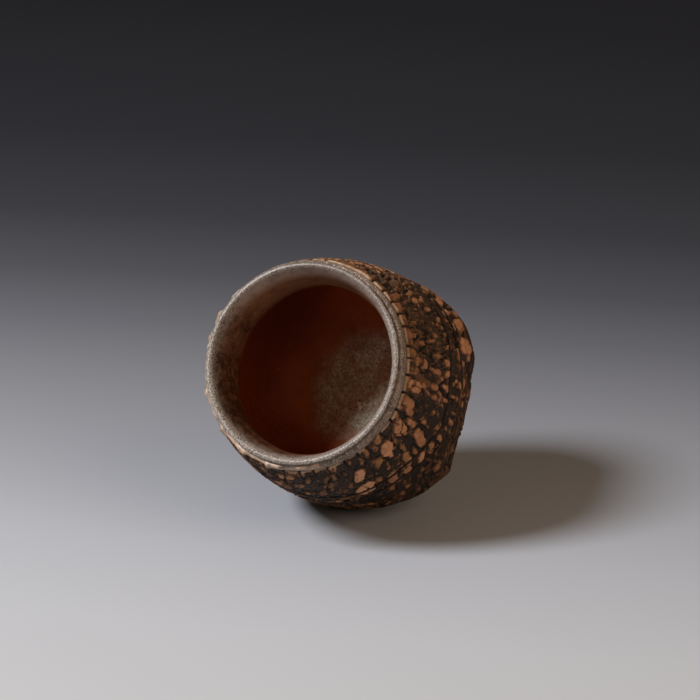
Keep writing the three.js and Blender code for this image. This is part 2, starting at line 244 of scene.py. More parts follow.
# The main islands of the side in view: degrees round, then drop, width and height in mm, and how pale
mainIslands = [
    (-46.5, 7.5, 3.0, 5.0, -0.3), (-38, 6.4, 4.0, 3.4, -0.5), (-30.5, 7.0, 3.2, 3.6, -0.4),
    (-52.5, 8.5, 2.6, 4.6, -0.6), (-57.5, 6.6, 2.8, 3.8, -0.5), (-66.5, 8.2, 2.4, 4.4, -0.5),
    (-61.5, 9.2, 2.8, 3.2, -0.2), (-61.8, 12.8, 2.9, 2.8, 0.0), (-24, 9.0, 2.6, 5.0, -0.5),
    (-74.2, 9.5, 3.4, 7.0, 0.4), (-73, 13.6, 1.6, 3.4, 0.2), (-83, 8.8, 3.2, 6.0, 0.1),
    (-87, 10.4, 2.2, 5.0, 0.1), (-96.4, 10.4, 4.2, 6.4, 0.5), (-97.6, 13.8, 1.8, 2.6, 0.3),
    (-91.8, 14.2, 1.7, 4.8, 0.3), (-109.3, 12.0, 4.2, 6.6, 0.7), (-110.5, 15.2, 2.2, 3.6, 0.6),
    (-117, 14.3, 2.6, 4.2, 0.0), (-103.2, 12.5, 1.4, 4.2, -0.2), (-117.3, 7.2, 1.6, 5.0, -0.2),
    (-122.5, 9, 1.6, 4.0, -0.2), (-108.5, 6.2, 2.6, 2.6, -0.2), (-113.2, 8.0, 1.4, 3.4, -0.2),
    (-129.7, 15.4, 3.4, 6.2, 1.3), (-133.4, 25.4, 6.0, 7.0, 1.5), (-124.6, 23.5, 1.8, 3.2, 0.0),
    (-96.3, 22.8, 3.4, 9.4, 0.3), (-88.3, 19.7, 2.0, 4.0, 0.1), (-107.5, 22.8, 2.2, 5.4, 0.2),
    (-104.3, 18.6, 1.8, 3.0, 0.0), (-103, 24.5, 1.7, 4, -0.1), (-63.4, 19.2, 1.6, 6.6, 0.1),
    (-70.8, 19.6, 1.8, 5.2, 0.2), (-69.3, 26.6, 2.0, 5.2, 0.5), (-63, 27.0, 2.2, 4.6, 0.5),
    (-57.2, 26.4, 2.2, 4.8, 0.3), (-48.5, 18.6, 1.3, 5.6, 0.1), (-55.3, 20.5, 1.3, 5, 0.0),
    (-82.8, 22.6, 1.0, 2.8, 0.1), (-26, 19.5, 1.7, 4.4, 0.4), (-21, 19.5, 1.5, 4.4, 0.1),
    (-24.8, 24, 1.5, 4.2, 0.2), (-30.2, 24.5, 1.7, 4.6, 0.4), (-34.5, 29.4, 1.5, 3.6, 0.4),
    (-48.7, 29.4, 1.5, 3.6, 0.4), (-43, 29, 1.1, 2.8, 0.1), (-74.5, 27, 1.4, 4.6, 0.1),
    (-120, 27.4, 3.8, 7.2, 0.2), (-104, 30, 2.8, 3.4, 0.7), (-113, 30, 2.8, 4.6, 0.4),
    (-96.8, 31, 1.7, 3.6, 0.3), (-92.3, 33.2, 1.7, 4.6, 0.5), (-72, 31.8, 1.0, 3.6, 0.3),
    (-65.4, 36.4, 2.0, 2.8, 0.6), (-64.2, 33.2, 1.2, 1.8, 0.3), (-82.7, 35.5, 1.6, 4.0, 0.3),
    (-79, 35.5, 0.9, 3.0, 0.1), (-86.7, 34, 1.0, 2.8, 0.1), (-125.2, 33.8, 2.0, 3.2, 0.1),
    (-49.6, 36.8, 2.4, 2.4, 0.5), (-45.2, 43.4, 5.4, 8.6, 0.6), (-54.2, 40.8, 1.8, 2.8, 0.5),
    (-62.8, 42.2, 3.4, 3.8, 0.4), (-68.7, 39.6, 3.4, 2.8, 0.3), (-35.6, 38.6, 2.8, 4.0, 0.4),
    (-34.0, 44.5, 4.0, 6.0, 0.5), (-28.2, 39.8, 2.8, 4.2, 0.4), (-27.5, 46.0, 2.6, 4.4, 0.3),
    (-21.0, 41.2, 3.0, 5.0, 0.4), (-16.5, 46.0, 3.2, 5.4, 0.3), (-11.6, 41, 3.2, 6, 0.3),
    (-50.6, 45, 1.8, 3.0, 0.4), (-109, 36.8, 1.2, 3, 0.1),
]

# Cracks between the plates of the torn edge on the side in view, in degrees; the rest follow evenly
edgeCracks = [-11.5, -20, -28, -35.5, -43, -54, -60.5, -69.5, -79, -89]

skin = {
    "columns": 810,
    "spacing": 0.25,          # between rows on the outside
    "lidRows": 6,             # over each upper edge
    "innerRows": 6,
    "thickness": 1.5,
    "gatherHeight": 28.0,     # below it the skin thickens, straight down to its lower edge
    "gatherThickness": 5.3,
    "grooveWidth": 0.72,
    "groundDepth": 0.34,      # islands stand this far above the ground
    "crackDepth": 0.45,
    "boxPower": 2.6,          # 2 would make the main islands ovals, and much more would make boxes
    "snap": 0.42,             # how far an outline jumps to straight-sided chips of this size
    "chipWide": 0.95,
    "chipTall": 1.3,
    "slant": 0.42,            # lean of the islands to either side of the middle of the view
    "slantTurn": 65.0,
    "slantDrop": 25.0,        # where the lean moves nothing
    "swell": 0.12,            # heights of the slow and the fine unevenness
    "grain": 0.04,
    "tornEdge": (0.35, 0.9),  # how far an edge turns inwards, and over what height
    "cutEdge": (0.5, 0.55),
    "restFrom": -97.0,        # the edge's other cracks: degrees, spacing and jitter
    "restTo": -343.5,
    "restStep": 8.4,
    "restJitter": 3.4,
    "seed": 41,
    "reliefSeed": 141,
}

# Where the main islands stand: degrees, between which all others keep clear of the largest lattice
viewFrom = -141.0
viewTo = -4.0
viewBlend = 5.0

# The lattices of the other islands: a cell's width and height in mm, the share of cells that stand up
# out of view and in view, how far they are drawn in, how much duller they are, and a step of the seed
looseIslands = [
    {"wide": 2.9, "tall": 5.2, "often": 0.42, "inView": 0.0, "margin": 0.36, "dull": 0.0, "step": 20},
    {"wide": 1.75, "tall": 3.3, "often": 0.34, "inView": 0.36, "margin": 0.30, "dull": 0.3, "step": 30},
    {"wide": 0.95, "tall": 1.6, "often": 0.26, "inView": 0.17, "margin": 0.20, "dull": 0.6, "step": 40},
]
largestCells = looseIslands[0]
smallestCells = looseIslands[-1]

# Strands of skin dragged round the cup: the drops at which they begin and are full, how strong they
# are there, how tall a strand is, and a step of the seed
lowStrands = [
    {"begin": 47.0, "full": 52.0, "strength": 1.0, "tall": 0.75, "step": 60},
    {"begin": 33.0, "full": 40.0, "strength": 0.6, "tall": 0.9, "step": 64},
]


def edgeCrackTurns():
    # the listed cracks, then evenly spaced ones with a jitter round the rest of the edge
    random = np.random.default_rng(skin["seed"])
    rest = np.arange(skin["restFrom"], skin["restTo"], -skin["restStep"])
    rest = rest + (random.random(rest.size) - 0.5) * skin["restJitter"]
    return np.concatenate([edgeCracks, rest])


def nearestTurn(turn, turns):
    # signed degrees to the nearest of the listed directions, and which it is
    apart = (turn[..., None] - turns + 180.0) % 360.0 - 180.0
    which = np.abs(apart).argmin(-1)
    return np.take_along_axis(apart, which[..., None], -1)[..., 0], which


def tornEdge(turn, top):
    # The drop of an edge torn into plates: level + each plate's own height + a ragged line + slits
    # between the plates. A slit's depth is 1 in its middle, and exp(-(way / width)^2) beside it.
    seed = skin["reliefSeed"]
    apart, which = nearestTurn(turn, edgeCrackTurns())
    apart = apart / 360.0
    side = apart > 0
    chance = np.random.default_rng(seed).random(200)
    top = top + 0.22 * chance[which * 2 + side] - 0.1
    top = top + 0.16 * roughNoise(turn / 360.0 * girth, top * 0.0, 1.6, 4.0, 2, seed + 3)
    way = apart * 2.0 * math.pi * cup["shoulderRadius"]
    slit = np.exp(-(way / (0.26 + 0.2 * chance[which + 100])) ** 2)
    return top + (0.8 + 0.7 * chance[which + 60]) * slit, slit


def edgeTones(turn):
    # where the plates are whole, and how strongly the torn edge takes its painted cream highlight: both
    # from 0 to 1
    around = turn / 360.0 * girth
    whole = window(turn, -99.0, -92.0, 60.0, 95.0)
    lowerLeft = window(turn, -180.0, -170.0, -134.0, -126.0)
    patches = smooth(-0.3, 0.5, roughNoise(around, around * 0.0, 5.0, 9.0, 3, skin["reliefSeed"] + 8))
    return whole, mixed(0.6 * patches, 0.7 + 0.3 * patches, np.maximum(whole, lowerLeft))


def bandGrid(topDrop, bottomDrop, torn):
    # The outside of a band of skin, as rows of points from its upper edge down to its lower one. Only
    # a torn edge has slits, plates that are whole, and places with a painted cream highlight.
    band = SimpleNamespace(torn=torn, turn=directions(skin["columns"]))
    top = topDrop(band.turn)
    bottom = bottomDrop(band.turn)
    band.slit = np.zeros(band.turn.size)
    band.wholePlates = np.zeros(band.turn.size)
    band.creamy = np.zeros(band.turn.size)
    if torn:
        top, band.slit = tornEdge(band.turn, top)
        band.wholePlates, band.creamy = edgeTones(band.turn)
    rows = int(np.max(bottom - top) / skin["spacing"]) + 1
    band.share = np.linspace(0.0, 1.0, rows)[:, None]
    band.drop = mixed(top[None, :], bottom[None, :], band.share)
    band.z = cup["height"] - band.drop
    band.turns = np.broadcast_to(band.turn, band.drop.shape)
    band.around = band.turns / 360.0 * girth
    band.fromTop = band.drop - top[None, :]
    band.fromBottom = bottom[None, :] - band.drop
    band.inView = window(band.turns, viewFrom, viewFrom + viewBlend, viewTo - viewBlend, viewTo)
    band.upperRight = smooth(-90.0, -72.0, band.turns) * (1.0 - smooth(24.0, 34.0, band.drop))
    return band


def bendPatterns(band):
    # Where the patterns of islands are looked up. Every outline is bent by noise, and part of the way
    # snapped to small chips, so that it looks broken; and the islands lean, with the wall's height.
    seed = skin["seed"]
    chips = brokenCells(band.around, band.drop, skin["chipWide"], skin["chipTall"], seed + 8)
    bendAcross = 0.4 * roughNoise(band.around, band.drop, 2.6, 3.4, 2, seed + 1)
    bendAlong = 0.6 * roughNoise(band.around, band.drop, 3.0, 3.6, 2, seed + 5)
    band.bendAcross = bendAcross + skin["snap"] * chips.aside
    band.bendAlong = bendAlong + skin["snap"] * chips.below
    band.lean = skin["slant"] * np.sin(np.radians(band.turns + skin["slantTurn"]))
    band.across = band.around - band.lean * (band.drop - skin["slantDrop"]) + band.bendAcross
    band.along = band.drop + band.bendAlong


def raiseIslands(marks, where, inside, tone, hue):
    # At the points of a mask, the marks become the new island's wherever it reaches further outwards.
    # inside, tone and hue are numbers, or arrays over the mask's points.
    better = inside > marks["island"][where]
    for name, value in (("island", inside), ("tone", tone), ("hue", hue)):
        marks[name][where] = np.where(better, value, marks[name][where])


def placeMainIslands(band, marks):
    # rounded boxes: mm inside = (1 - (aside^p + down^p)^(1/p)) times half the lesser size
    power = skin["boxPower"]
    scale = outsideRadius(band.z) / cup["bellyRadius"]
    for centre, middle, wide, tall, pale in mainIslands:
        near = (np.abs(band.turns - centre) < 18.0) & (np.abs(band.drop - middle) < tall)
        down = band.drop[near] - middle
        aside = (band.turns[near] - centre) / 360.0 * girth * scale[near] - band.lean[near] * down
        aside = aside + band.bendAcross[near]
        down = down + band.bendAlong[near]
        reach = np.abs(2.0 * aside / wide) ** power + np.abs(2.0 * down / tall) ** power
        inside = (1.0 - reach ** (1.0 / power)) * min(wide, tall) * 0.5
        raiseIslands(marks, near, inside, pale, 0.8 * scatter(centre, middle, 1))


def placeLooseIslands(band, marks, cellRows, cellSeed):
    # some of the cells of three broken lattices, each drawn in from its borders; where the solids
    # have islands out of view, the cells of the largest lattice lie in them
    for lattice in looseIslands:
        found = brokenCells(
            band.across, band.along, lattice["wide"], lattice["tall"], skin["seed"] + lattice["step"])
        mark = found.mark
        inside = found.gap * lattice["wide"] * 0.5 - lattice["margin"] * (0.5 + 1.1 * mark[..., 1])
        more = 0.2 * band.upperRight if lattice is smallestCells else 0.0
        chosen = mark[..., 0] < mixed(lattice["often"], lattice["inView"] + more, band.inView)
        if cellRows and lattice is largestCells:
            bandTall = (band.drop[-1] - band.drop[0])[None, :]
            cellAcross = (band.turns % 360.0) / 360.0 * cells["count"]
            cellAcross = cellAcross + band.bendAcross / girth * cells["count"]
            cellRow = (band.share + band.bendAlong / bandTall) * cellRows
            solid = cellIslands(cellAcross, cellRow, cellRows, cellSeed)
            inside = np.minimum(solid, inside + 0.25)
            chosen = band.inView < 0.5
        tone = mark[..., 2] * 1.4 - 0.7 - lattice["dull"]
        raiseIslands(marks, chosen, inside[chosen], tone[chosen], mark[..., 1][chosen])


def placeStrands(band, marks):
    # dull strands of dragged skin: round the cup on its lower part, and down the wall at the upper
    # right, where the noise is above a level that falls as the strands get stronger
    seed = skin["seed"]
    for strands in lowStrands:
        low = smooth(strands["begin"], strands["full"], band.drop) * strands["strength"]
        noise = roughNoise(band.around, band.drop + 0.5 * band.bendAlong, 4.2, strands["tall"], 2,
                           seed + strands["step"])
        where = low > 0.05
        inside = 0.55 * (noise - 1.25 + 0.85 * low)
        raiseIslands(marks, where, inside[where], -0.75, 0.85)
    noise = roughNoise(band.across + 0.5 * band.bendAcross, band.drop, 1.3, 4.6, 2, seed + 68)
    near = band.upperRight * (1.0 - smooth(13.0, 21.0, band.drop))
    where = near > 0.05
    inside = 0.5 * (noise - 1.08 + 0.6 * near)
    raiseIslands(marks, where, inside[where], -0.55, 0.7)


def crackDepths(band, island):
    # from 0 to 1: long cracks down the wall, which come and go, and gaps close beside the islands, cut in
    # and painted black, partly as painted shade at the islands' edges
    seed = skin["seed"]
    long = 1.0 - smooth(0.015, 0.06, brokenCells(band.across, band.along * 0.6, 5.2, 9.0, seed + 50).gap)
    long = long * smooth(0.1, 0.45, softNoise(band.around, band.drop, 8.0, 12.0, seed + 55))
    # painted shade: black just outside the islands' edges, where they shade the ground; these gaps are
    # also cut in
    beside = window(island, -0.62, -0.34, -0.16, -0.04)
    beside = beside * smooth(-0.45, 0.1, roughNoise(band.around, band.drop, 2.6, 3.6, 2, seed + 58))
    return np.maximum(long, (0.75 + 0.2 * band.upperRight) * beside)


def skinMarks(band, cellRows, cellSeed):
    # island: mm inside (+) or outside (-) an island's outline; the cracks, with painted shade beside the
    # islands: 0 to 1; tone: how pale the island is, and hue: how yellow, from 0 to 1. The band has
    # cellRows rows of the solids' cells.
    shape = band.drop.shape
    marks = {"island": np.full(shape, offIslands), "tone": np.zeros(shape), "hue": np.zeros(shape)}
    bendPatterns(band)
    placeMainIslands(band, marks)
    placeLooseIslands(band, marks, cellRows, cellSeed)
    placeStrands(band, marks)
    marks["crack"] = crackDepths(band, marks["island"])
    return marks


print("patterns ready")


def surfaceMesh(name, points, closed, startPole=None, endPole=None):
    # points are rows by columns by xyz; columns always close round, rows only where asked for, and
    # a pole closes the first or last row with a fan
    rows, columns = points.shape[:2]
    lastRow = rows if closed else rows - 1
    row = np.arange(lastRow)[:, None]
    column = np.arange(columns)[None, :]
    nextRow = (row + 1) % rows
    nextColumn = (column + 1) % columns
    quads = np.stack([
        row * columns + column, nextRow * columns + column,
        nextRow * columns + nextColumn, row * columns + nextColumn,
    ], -1).reshape(-1, 4)
    flat = points.reshape(-1, 3)
    corners = [quads.ravel()]
    sizes = [np.full(len(quads), 4)]
    ring = np.arange(columns)
    ahead = (ring + 1) % columns
    for pole, first in ((startPole, True), (endPole, False)):
        if pole is None:
            continue
        tip = np.full(columns, len(flat))
        flat = np.concatenate([flat, [pole]])
        rim = ring if first else ring + (rows - 1) * columns
        rimAhead = ahead if first else ahead + (rows - 1) * columns
        fan = np.stack([tip, rim, rimAhead] if first else [rim, tip, rimAhead], -1)
        corners.append(fan.ravel())
        sizes.append(np.full(columns, 3))
    corners = np.concatenate(corners)
    sizes = np.concatenate(sizes)
    mesh = bpy.data.meshes.new(name)
    mesh.vertices.add(len(flat))
    mesh.vertices.foreach_set("co", (flat * mm).astype(np.float32).ravel())
    mesh.loops.add(len(corners))
    mesh.loops.foreach_set("vertex_index", corners.astype(np.int32))
    mesh.polygons.add(len(sizes))
    starts = np.concatenate([[0], np.cumsum(sizes)[:-1]])
    mesh.polygons.foreach_set("loop_start", starts.astype(np.int32))
    mesh.polygons.foreach_set("use_smooth", np.ones(len(sizes), bool))
    mesh.update(calc_edges=True)
    mesh.validate()
    piece = bpy.data.objects.new(name, mesh)
    bpy.context.scene.collection.objects.link(piece)
    return piece


def paint(piece, name, values):
    # one number for each vertex; poles take the last value
    flat = np.asarray(values, np.float32).ravel()
    missing = len(piece.data.vertices) - flat.size
    flat = np.concatenate([flat, np.full(missing, flat[-1], np.float32)])
    piece.data.attributes.new(name, "FLOAT", "POINT").data.foreach_set("value", flat)


def dress(piece, node, material):
    piece.data.materials.append(material)
    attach(piece, "root")
    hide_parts(node)


def fromTurns(turn, radius, z):
    # radius and height at a direction, as x, y and z
    angle = np.radians(turn)
    return np.stack([radius * np.cos(angle), radius * np.sin(angle), z], -1)


def turnedGrid(profile, turn):
    # radius and height of a profile, the same in every direction
    return profile[:, :1] + 0.0 * turn[None, :], profile[:, 1:] + 0.0 * turn[None, :]


def leftNormals(profile):
    # unit vectors square to a profile, to the left of the way it runs
    along = np.gradient(profile, axis=0)
    along = along / np.linalg.norm(along, axis=1, keepdims=True)
    return np.stack([-along[:, 1], along[:, 0]], -1)


def innerSkinRadius(z):
    # even under the skin, and a straight cone where the skin gathers
    top = skin["gatherHeight"]
    fall = (top - z) / (top - cup["baseHeight"])
    start = outsideRadius(top) - skin["thickness"]
    cone = mixed(start, cup["baseRadius"] - skin["gatherThickness"], fall)
    return np.where(z > top, outsideRadius(z) - skin["thickness"], cone)


def nodeOf(tree, kind, place, **settings):
    node = tree.nodes.new(kind)
    node.location = place
    for key, value in settings.items():
        setattr(node, key, value)
    return node


def newMaterial(name):
    material = bpy.data.materials.new(name)
    material.use_nodes = True
    tree = material.node_tree
    shader = tree.nodes["Principled BSDF"]
    where = nodeOf(tree, "ShaderNodeTexCoord", (-1500, 0))
    return material, tree, shader, where.outputs["Object"]


def noiseAt(tree, where, scale, detail, roughness, place):
    # noise on the piece's own coordinates, in features per metre
    node = nodeOf(tree, "ShaderNodeTexNoise", place)
    node.inputs["Scale"].default_value = scale
    node.inputs["Detail"].default_value = detail
    node.inputs["Roughness"].default_value = roughness
    tree.links.new(where, node.inputs["Vector"])
    return node.outputs["Fac"]


def painted(tree, name, place):
    return nodeOf(tree, "ShaderNodeAttribute", place, attribute_name=name).outputs["Fac"]


def rangeOf(tree, value, low, high, toLow, toHigh, place):
    # straight from toLow to toHigh while value goes from low to high, and flat outside that
    node = nodeOf(tree, "ShaderNodeMapRange", place)
    for index, number in enumerate((low, high, toLow, toHigh), 1):
        node.inputs[index].default_value = number
    tree.links.new(value, node.inputs[0])
    return node.outputs[0]


def sumOf(tree, first, second, factor, place):
    # first + second times factor
    node = nodeOf(tree, "ShaderNodeMath", place, operation="MULTIPLY_ADD")
    tree.links.new(second, node.inputs[0])
    node.inputs[1].default_value = factor
    tree.links.new(first, node.inputs[2])
    return node.outputs[0]


def productOf(tree, first, second, place):
    node = nodeOf(tree, "ShaderNodeMath", place, operation="MULTIPLY")
    tree.links.new(first, node.inputs[0])
    tree.links.new(second, node.inputs[1])
    return node.outputs[0]


def blendOf(tree, share, first, second, place):
    # colours, or sockets that give them
    node = nodeOf(tree, "ShaderNodeMix", place, data_type="RGBA")
    tree.links.new(share, node.inputs[0])
    for socket, colour in ((node.inputs[6], first), (node.inputs[7], second)):
        if isinstance(colour, tuple):
            socket.default_value = colour + (1.0,)
        else:
            tree.links.new(colour, socket)
    return node.outputs[2]


def bumpOf(tree, height, strength, distance, place):
    node = nodeOf(tree, "ShaderNodeBump", place)
    node.inputs["Strength"].default_value = strength
    node.inputs["Distance"].default_value = distance
    tree.links.new(height, node.inputs["Height"])
    return node


skinTints = {
    "ground": (0.0225, 0.0130, 0.0092),
    "groundWarm": (0.088, 0.046, 0.025),
    "tan": (0.305, 0.128, 0.056),
    "tanPale": (0.52, 0.255, 0.130),
    "tanDull": (0.115, 0.048, 0.020),
    "ochre": (0.30, 0.150, 0.045),
    "ochreDull": (0.105, 0.045, 0.010),
    "crack": (0.004, 0.003, 0.002),
    # the next two: the painted highlight where light catches the torn upper edge
    "cream": (0.40, 0.28, 0.19),
    "creamHighlightDull": (0.24, 0.130, 0.072),
}


def groundColour(tree, fine, grain):
    # dark, browner where the warmth is painted, with black specks
    warm = painted(tree, "warm", (-1200, -800))
    share = rangeOf(tree, grain, 0.42, 0.68, 0.0, 1.0, (-950, 250))
    share = sumOf(tree, warm, share, 0.25, (-750, 250))
    ground = blendOf(tree, share, skinTints["ground"], skinTints["groundWarm"], (-550, 250))
    return blendOf(tree, rangeOf(tree, fine, 0.32, 0.46, 0.6, 0.0, (-750, 420)),
                   ground, skinTints["crack"], (-350, 300))


def islandColour(tree, grain):
    # from dull to pale tan by the painted tone and the grain, and yellower by the painted hue
    tone = painted(tree, "tone", (-1200, -500))
    hue = painted(tree, "hue", (-1200, -950))
    pale = sumOf(tree, tone, rangeOf(tree, grain, 0.35, 0.7, -0.5, 0.5, (-950, 0)), 0.7, (-750, 0))
    tan = blendOf(tree, rangeOf(tree, pale, -1.0, 0.1, 0.0, 1.0, (-550, 60)),
                  skinTints["tanDull"], skinTints["tan"], (-350, 60))
    tan = blendOf(tree, rangeOf(tree, pale, 0.1, 1.1, 0.0, 1.0, (-550, -100)),
                  tan, skinTints["tanPale"], (-150, 0))
    ochre = blendOf(tree, rangeOf(tree, pale, -1.0, 0.6, 0.0, 1.0, (-550, -1100)),
                    skinTints["ochreDull"], skinTints["ochre"], (-350, -950))
    yellow = rangeOf(tree, hue, 0.5, 0.85, 0.0, 0.75, (-550, -950))
    return blendOf(tree, yellow, tan, ochre, (-50, -50))


def crackledSkinMaterial():
    material, tree, shader, where = newMaterial("crackled slip skin")
    fine = noiseAt(tree, where, 2600.0, 2.0, 0.6, (-1200, 500))
    grain = noiseAt(tree, where, 900.0, 4.0, 0.65, (-1200, 250))
    broad = noiseAt(tree, where, 180.0, 3.0, 0.6, (-1200, 0))
    island = painted(tree, "island", (-1200, -200))
    crack = painted(tree, "crack", (-1200, -350))
    edge = painted(tree, "edge", (-1200, -650))

    # ragged islands on the ground, then the painted cream highlight of the torn edge, and the cracks, with
    # the painted shade beside the islands, over all
    ragged = rangeOf(tree, fine, 0.3, 0.7, -1.0, 1.0, (-950, -200))
    ragged = sumOf(tree, island, ragged, 0.12, (-750, -200))
    colour = blendOf(tree, rangeOf(tree, ragged, -0.16, 0.22, 0.0, 1.0, (-550, -250)),
                     groundColour(tree, fine, grain), islandColour(tree, grain), (0, 100))
    cream = blendOf(tree, rangeOf(tree, grain, 0.38, 0.62, 0.0, 1.0, (-550, -750)),
                    skinTints["creamHighlightDull"], skinTints["cream"], (-150, -500))
    creamy = sumOf(tree, edge, broad, 0.5, (-750, -600))
    colour = blendOf(tree, rangeOf(tree, creamy, 0.5, 0.95, 0.0, 1.0, (-550, -600)),
                     colour, cream, (150, 50))
    colour = blendOf(tree, crack, colour, skinTints["crack"], (300, 0))
    tree.links.new(colour, shader.inputs["Base Color"])

    rough = rangeOf(tree, grain, 0.3, 0.7, 0.6, 0.9, (0, -300))
    tree.links.new(rough, shader.inputs["Roughness"])
    small = bumpOf(tree, fine, 0.35, 0.00012, (100, -500))
    large = bumpOf(tree, grain, 0.5, 0.00035, (300, -500))
    tree.links.new(small.outputs["Normal"], large.inputs["Normal"])
    tree.links.new(large.outputs["Normal"], shader.inputs["Normal"])
    shader.inputs["Specular IOR Level"].default_value = 0.22
    return material


skinMaterial = crackledSkinMaterial()


def markPlates(band, marks):
    # slits between the plates, a crack under them that comes and goes, and their dull faces
    fromTop, around, turns = band.fromTop, band.around, band.turns
    seed = skin["reliefSeed"]
    slitDown = band.slit[None, :] * (1.0 - smooth(1.2, 4.6, fromTop))
    plateEnd = 3.2 + 0.8 * softNoise(around, fromTop * 0.0, 3.0, 9.0, seed + 11)
    across = np.exp(-((fromTop - plateEnd) / 0.28) ** 2)
    across = across * smooth(-0.3, 0.2, softNoise(around, fromTop * 0.0, 4.0, 9.0, seed + 12))
    crack = marks["crack"] * smooth(2.2, 4.2, fromTop)
    marks["crack"] = np.maximum(crack, np.maximum(slitDown, 0.8 * across))
    ragged = fromTop + 1.5 * softNoise(around, band.drop, 1.6, 3.0, seed + 14)
    face = (1.0 - smooth(0.5, 2.6, ragged)) * band.wholePlates[None, :]
    marks["island"] = mixed(marks["island"], np.maximum(marks["island"], 0.35), face)
    dull = -0.6 + 0.5 * softNoise(around, band.drop, 1.4, 3.0, seed + 13)
    tone = mixed(marks["tone"], dull, face)
    marks["tone"] = tone - 0.5 * window(turns, -30.0, -5.0, 30.0, 60.0) * face


def bandRadius(band, marks):
    # the wall's curve + lumps - ground depth away from islands - cracks + swell and grain, rounded
    # in at both edges
    fade = 1.0 - smooth(lumpFull, lumpTop, band.z)
    radius = outsideRadius(band.z) + roundTheCup(lumps, band.turn)[None, :] * fade
    if not band.torn:
        for centre, height, out, reach in knobs:
            aside = (band.turns - centre) / 360.0 * girth
            radius = radius + out * np.exp(-(aside ** 2 + (band.z - height) ** 2) / reach ** 2)
    rise = smooth(-0.3, 0.25, marks["island"])
    swell = roughNoise(band.around, band.drop, 8.0, 11.0, 2, skin["reliefSeed"] + 20)
    grain = roughNoise(band.around, band.drop, 0.9, 1.1, 2, skin["reliefSeed"] + 24)
    relief = -skin["groundDepth"] * (1.0 - rise) + skin["swell"] * swell + skin["grain"] * grain
    radius = radius + (relief - skin["crackDepth"] * marks["crack"])
    topIn, topRound = skin["tornEdge"] if band.torn else skin["cutEdge"]
    bottomIn, bottomRound = skin["cutEdge"]
    radius = radius - topIn * (1.0 - smooth(0.0, topRound, band.fromTop)) ** 2
    return radius - bottomIn * (1.0 - smooth(0.0, bottomRound, band.fromBottom)) ** 2


def shadeBand(band, marks):
    # black where the skin turns down into a groove, and duller towards the rims of the islands
    groove = 1.0 - smooth(0.1, 0.55, band.fromBottom)
    if not band.torn:
        groove = np.maximum(groove, 1.0 - smooth(0.15, 0.7, band.fromTop))
    marks["crack"] = np.maximum(marks["crack"], groove)
    uneven = roughNoise(band.around, band.drop, 1.1, 1.6, 2, skin["reliefSeed"] + 28)
    tone = marks["tone"] + 0.3 * uneven
    marks["tone"] = tone - 0.5 * (1.0 - smooth(0.0, 0.5, marks["island"]))


def groundWarmth(band):
    # the ground is browner high up on one side, and on the right and low down a little
    turns, drop = band.turns, band.drop
    high = window(turns, -72.0, -40.0, 10.0, 50.0) * (1.0 - smooth(12.0, 34.0, drop))
    right = window(turns, -100.0, -75.0, 40.0, 90.0) * (1.0 - smooth(40.0, 52.0, drop))
    low = smooth(36.0, 50.0, drop) * (1.0 - smooth(-90.0, -70.0, turns))
    uneven = roughNoise(band.around, drop, 7.0, 10.0, 2, skin["reliefSeed"] + 30)
    return 0.02 + 0.45 * high + 0.08 * right + 0.15 * low + 0.16 * uneven


def closedBand(band, radius):
    # each column is a loop: over the upper edge from the inside out, down the outside, up the inside
    lid = np.linspace(0.0, 1.0, skin["lidRows"], endpoint=False)[:, None]
    back = np.linspace(0.0, 1.0, skin["innerRows"])[:, None]
    top, bottom = band.z[0][None, :], band.z[-1][None, :]
    lidRadius = mixed(innerSkinRadius(band.z[0])[None, :], radius[0][None, :], lid)
    backZ = mixed(bottom, top - 0.4, back)
    allZ = np.concatenate([top - 0.3 * (1.0 - lid) ** 2, band.z, backZ])
    allRadius = np.concatenate([lidRadius, radius, innerSkinRadius(backZ)])
    return fromTurns(np.broadcast_to(band.turn, allZ.shape), allRadius, allZ)


def paintBand(piece, band, marks):
    # the marks of the outside, and others over the upper edge and up the inside
    lid = np.linspace(0.0, 1.0, skin["lidRows"], endpoint=False)[:, None]
    slit, columns = band.slit[None, :], skin["columns"]
    creamy = band.creamy[None, :] * (1.0 - slit)
    edge = band.creamy[None, :] * (1.0 - smooth(0.25, 0.7, band.fromTop)) * (1.0 - slit)
    for name, outside, over, inside in (
        ("island", marks["island"], mixed(-1.0, 0.6, smooth(0.3, 0.7, lid)), -1.0),
        ("crack", marks["crack"], slit * 0.7, 1.0),
        ("tone", marks["tone"], 0.0, 0.0),
        ("hue", marks["hue"], 0.3, 0.0),
        # the edge: the painted cream highlight where light catches the torn edge and its top
        ("edge", edge, creamy * smooth(0.35, 0.8, lid), 0.0),
        ("warm", groundWarmth(band), 0.2, 0.0),
    ):
        lidPart = np.broadcast_to(over, (skin["lidRows"], columns))
        backPart = np.full((skin["innerRows"], columns), inside)
        paint(piece, name, np.concatenate([lidPart, outside, backPart]))


def skinBand(name, node, topDrop, bottomDrop, torn, cellRows, cellSeed):
    band = bandGrid(topDrop, bottomDrop, torn)
    marks = skinMarks(band, cellRows, cellSeed)
    if torn:
        markPlates(band, marks)
    radius = bandRadius(band, marks)
    shadeBand(band, marks)
    piece = surfaceMesh(name, closedBand(band, radius), True)
    paintBand(piece, band, marks)
    dress(piece, node, skinMaterial)
    print(name, len(piece.data.vertices), "vertices")
    return piece


def halfGroove(side, groove):
    # one side of a groove: its middle, and half its width above (-1) or below (1)
    return lambda turn: roundTheCup(groove, turn) + side * skin["grooveWidth"] / 2.0


def lowerEdge(turn):
    # the skin's lower edge: about level, with slow and quick waves
    around = turn / 360.0 * girth
    waves = 0.3 * roughNoise(around, around * 0.0, 9.0, 9.0, 3, 900)
    return cup["height"] - cup["baseHeight"] - 0.35 - waves


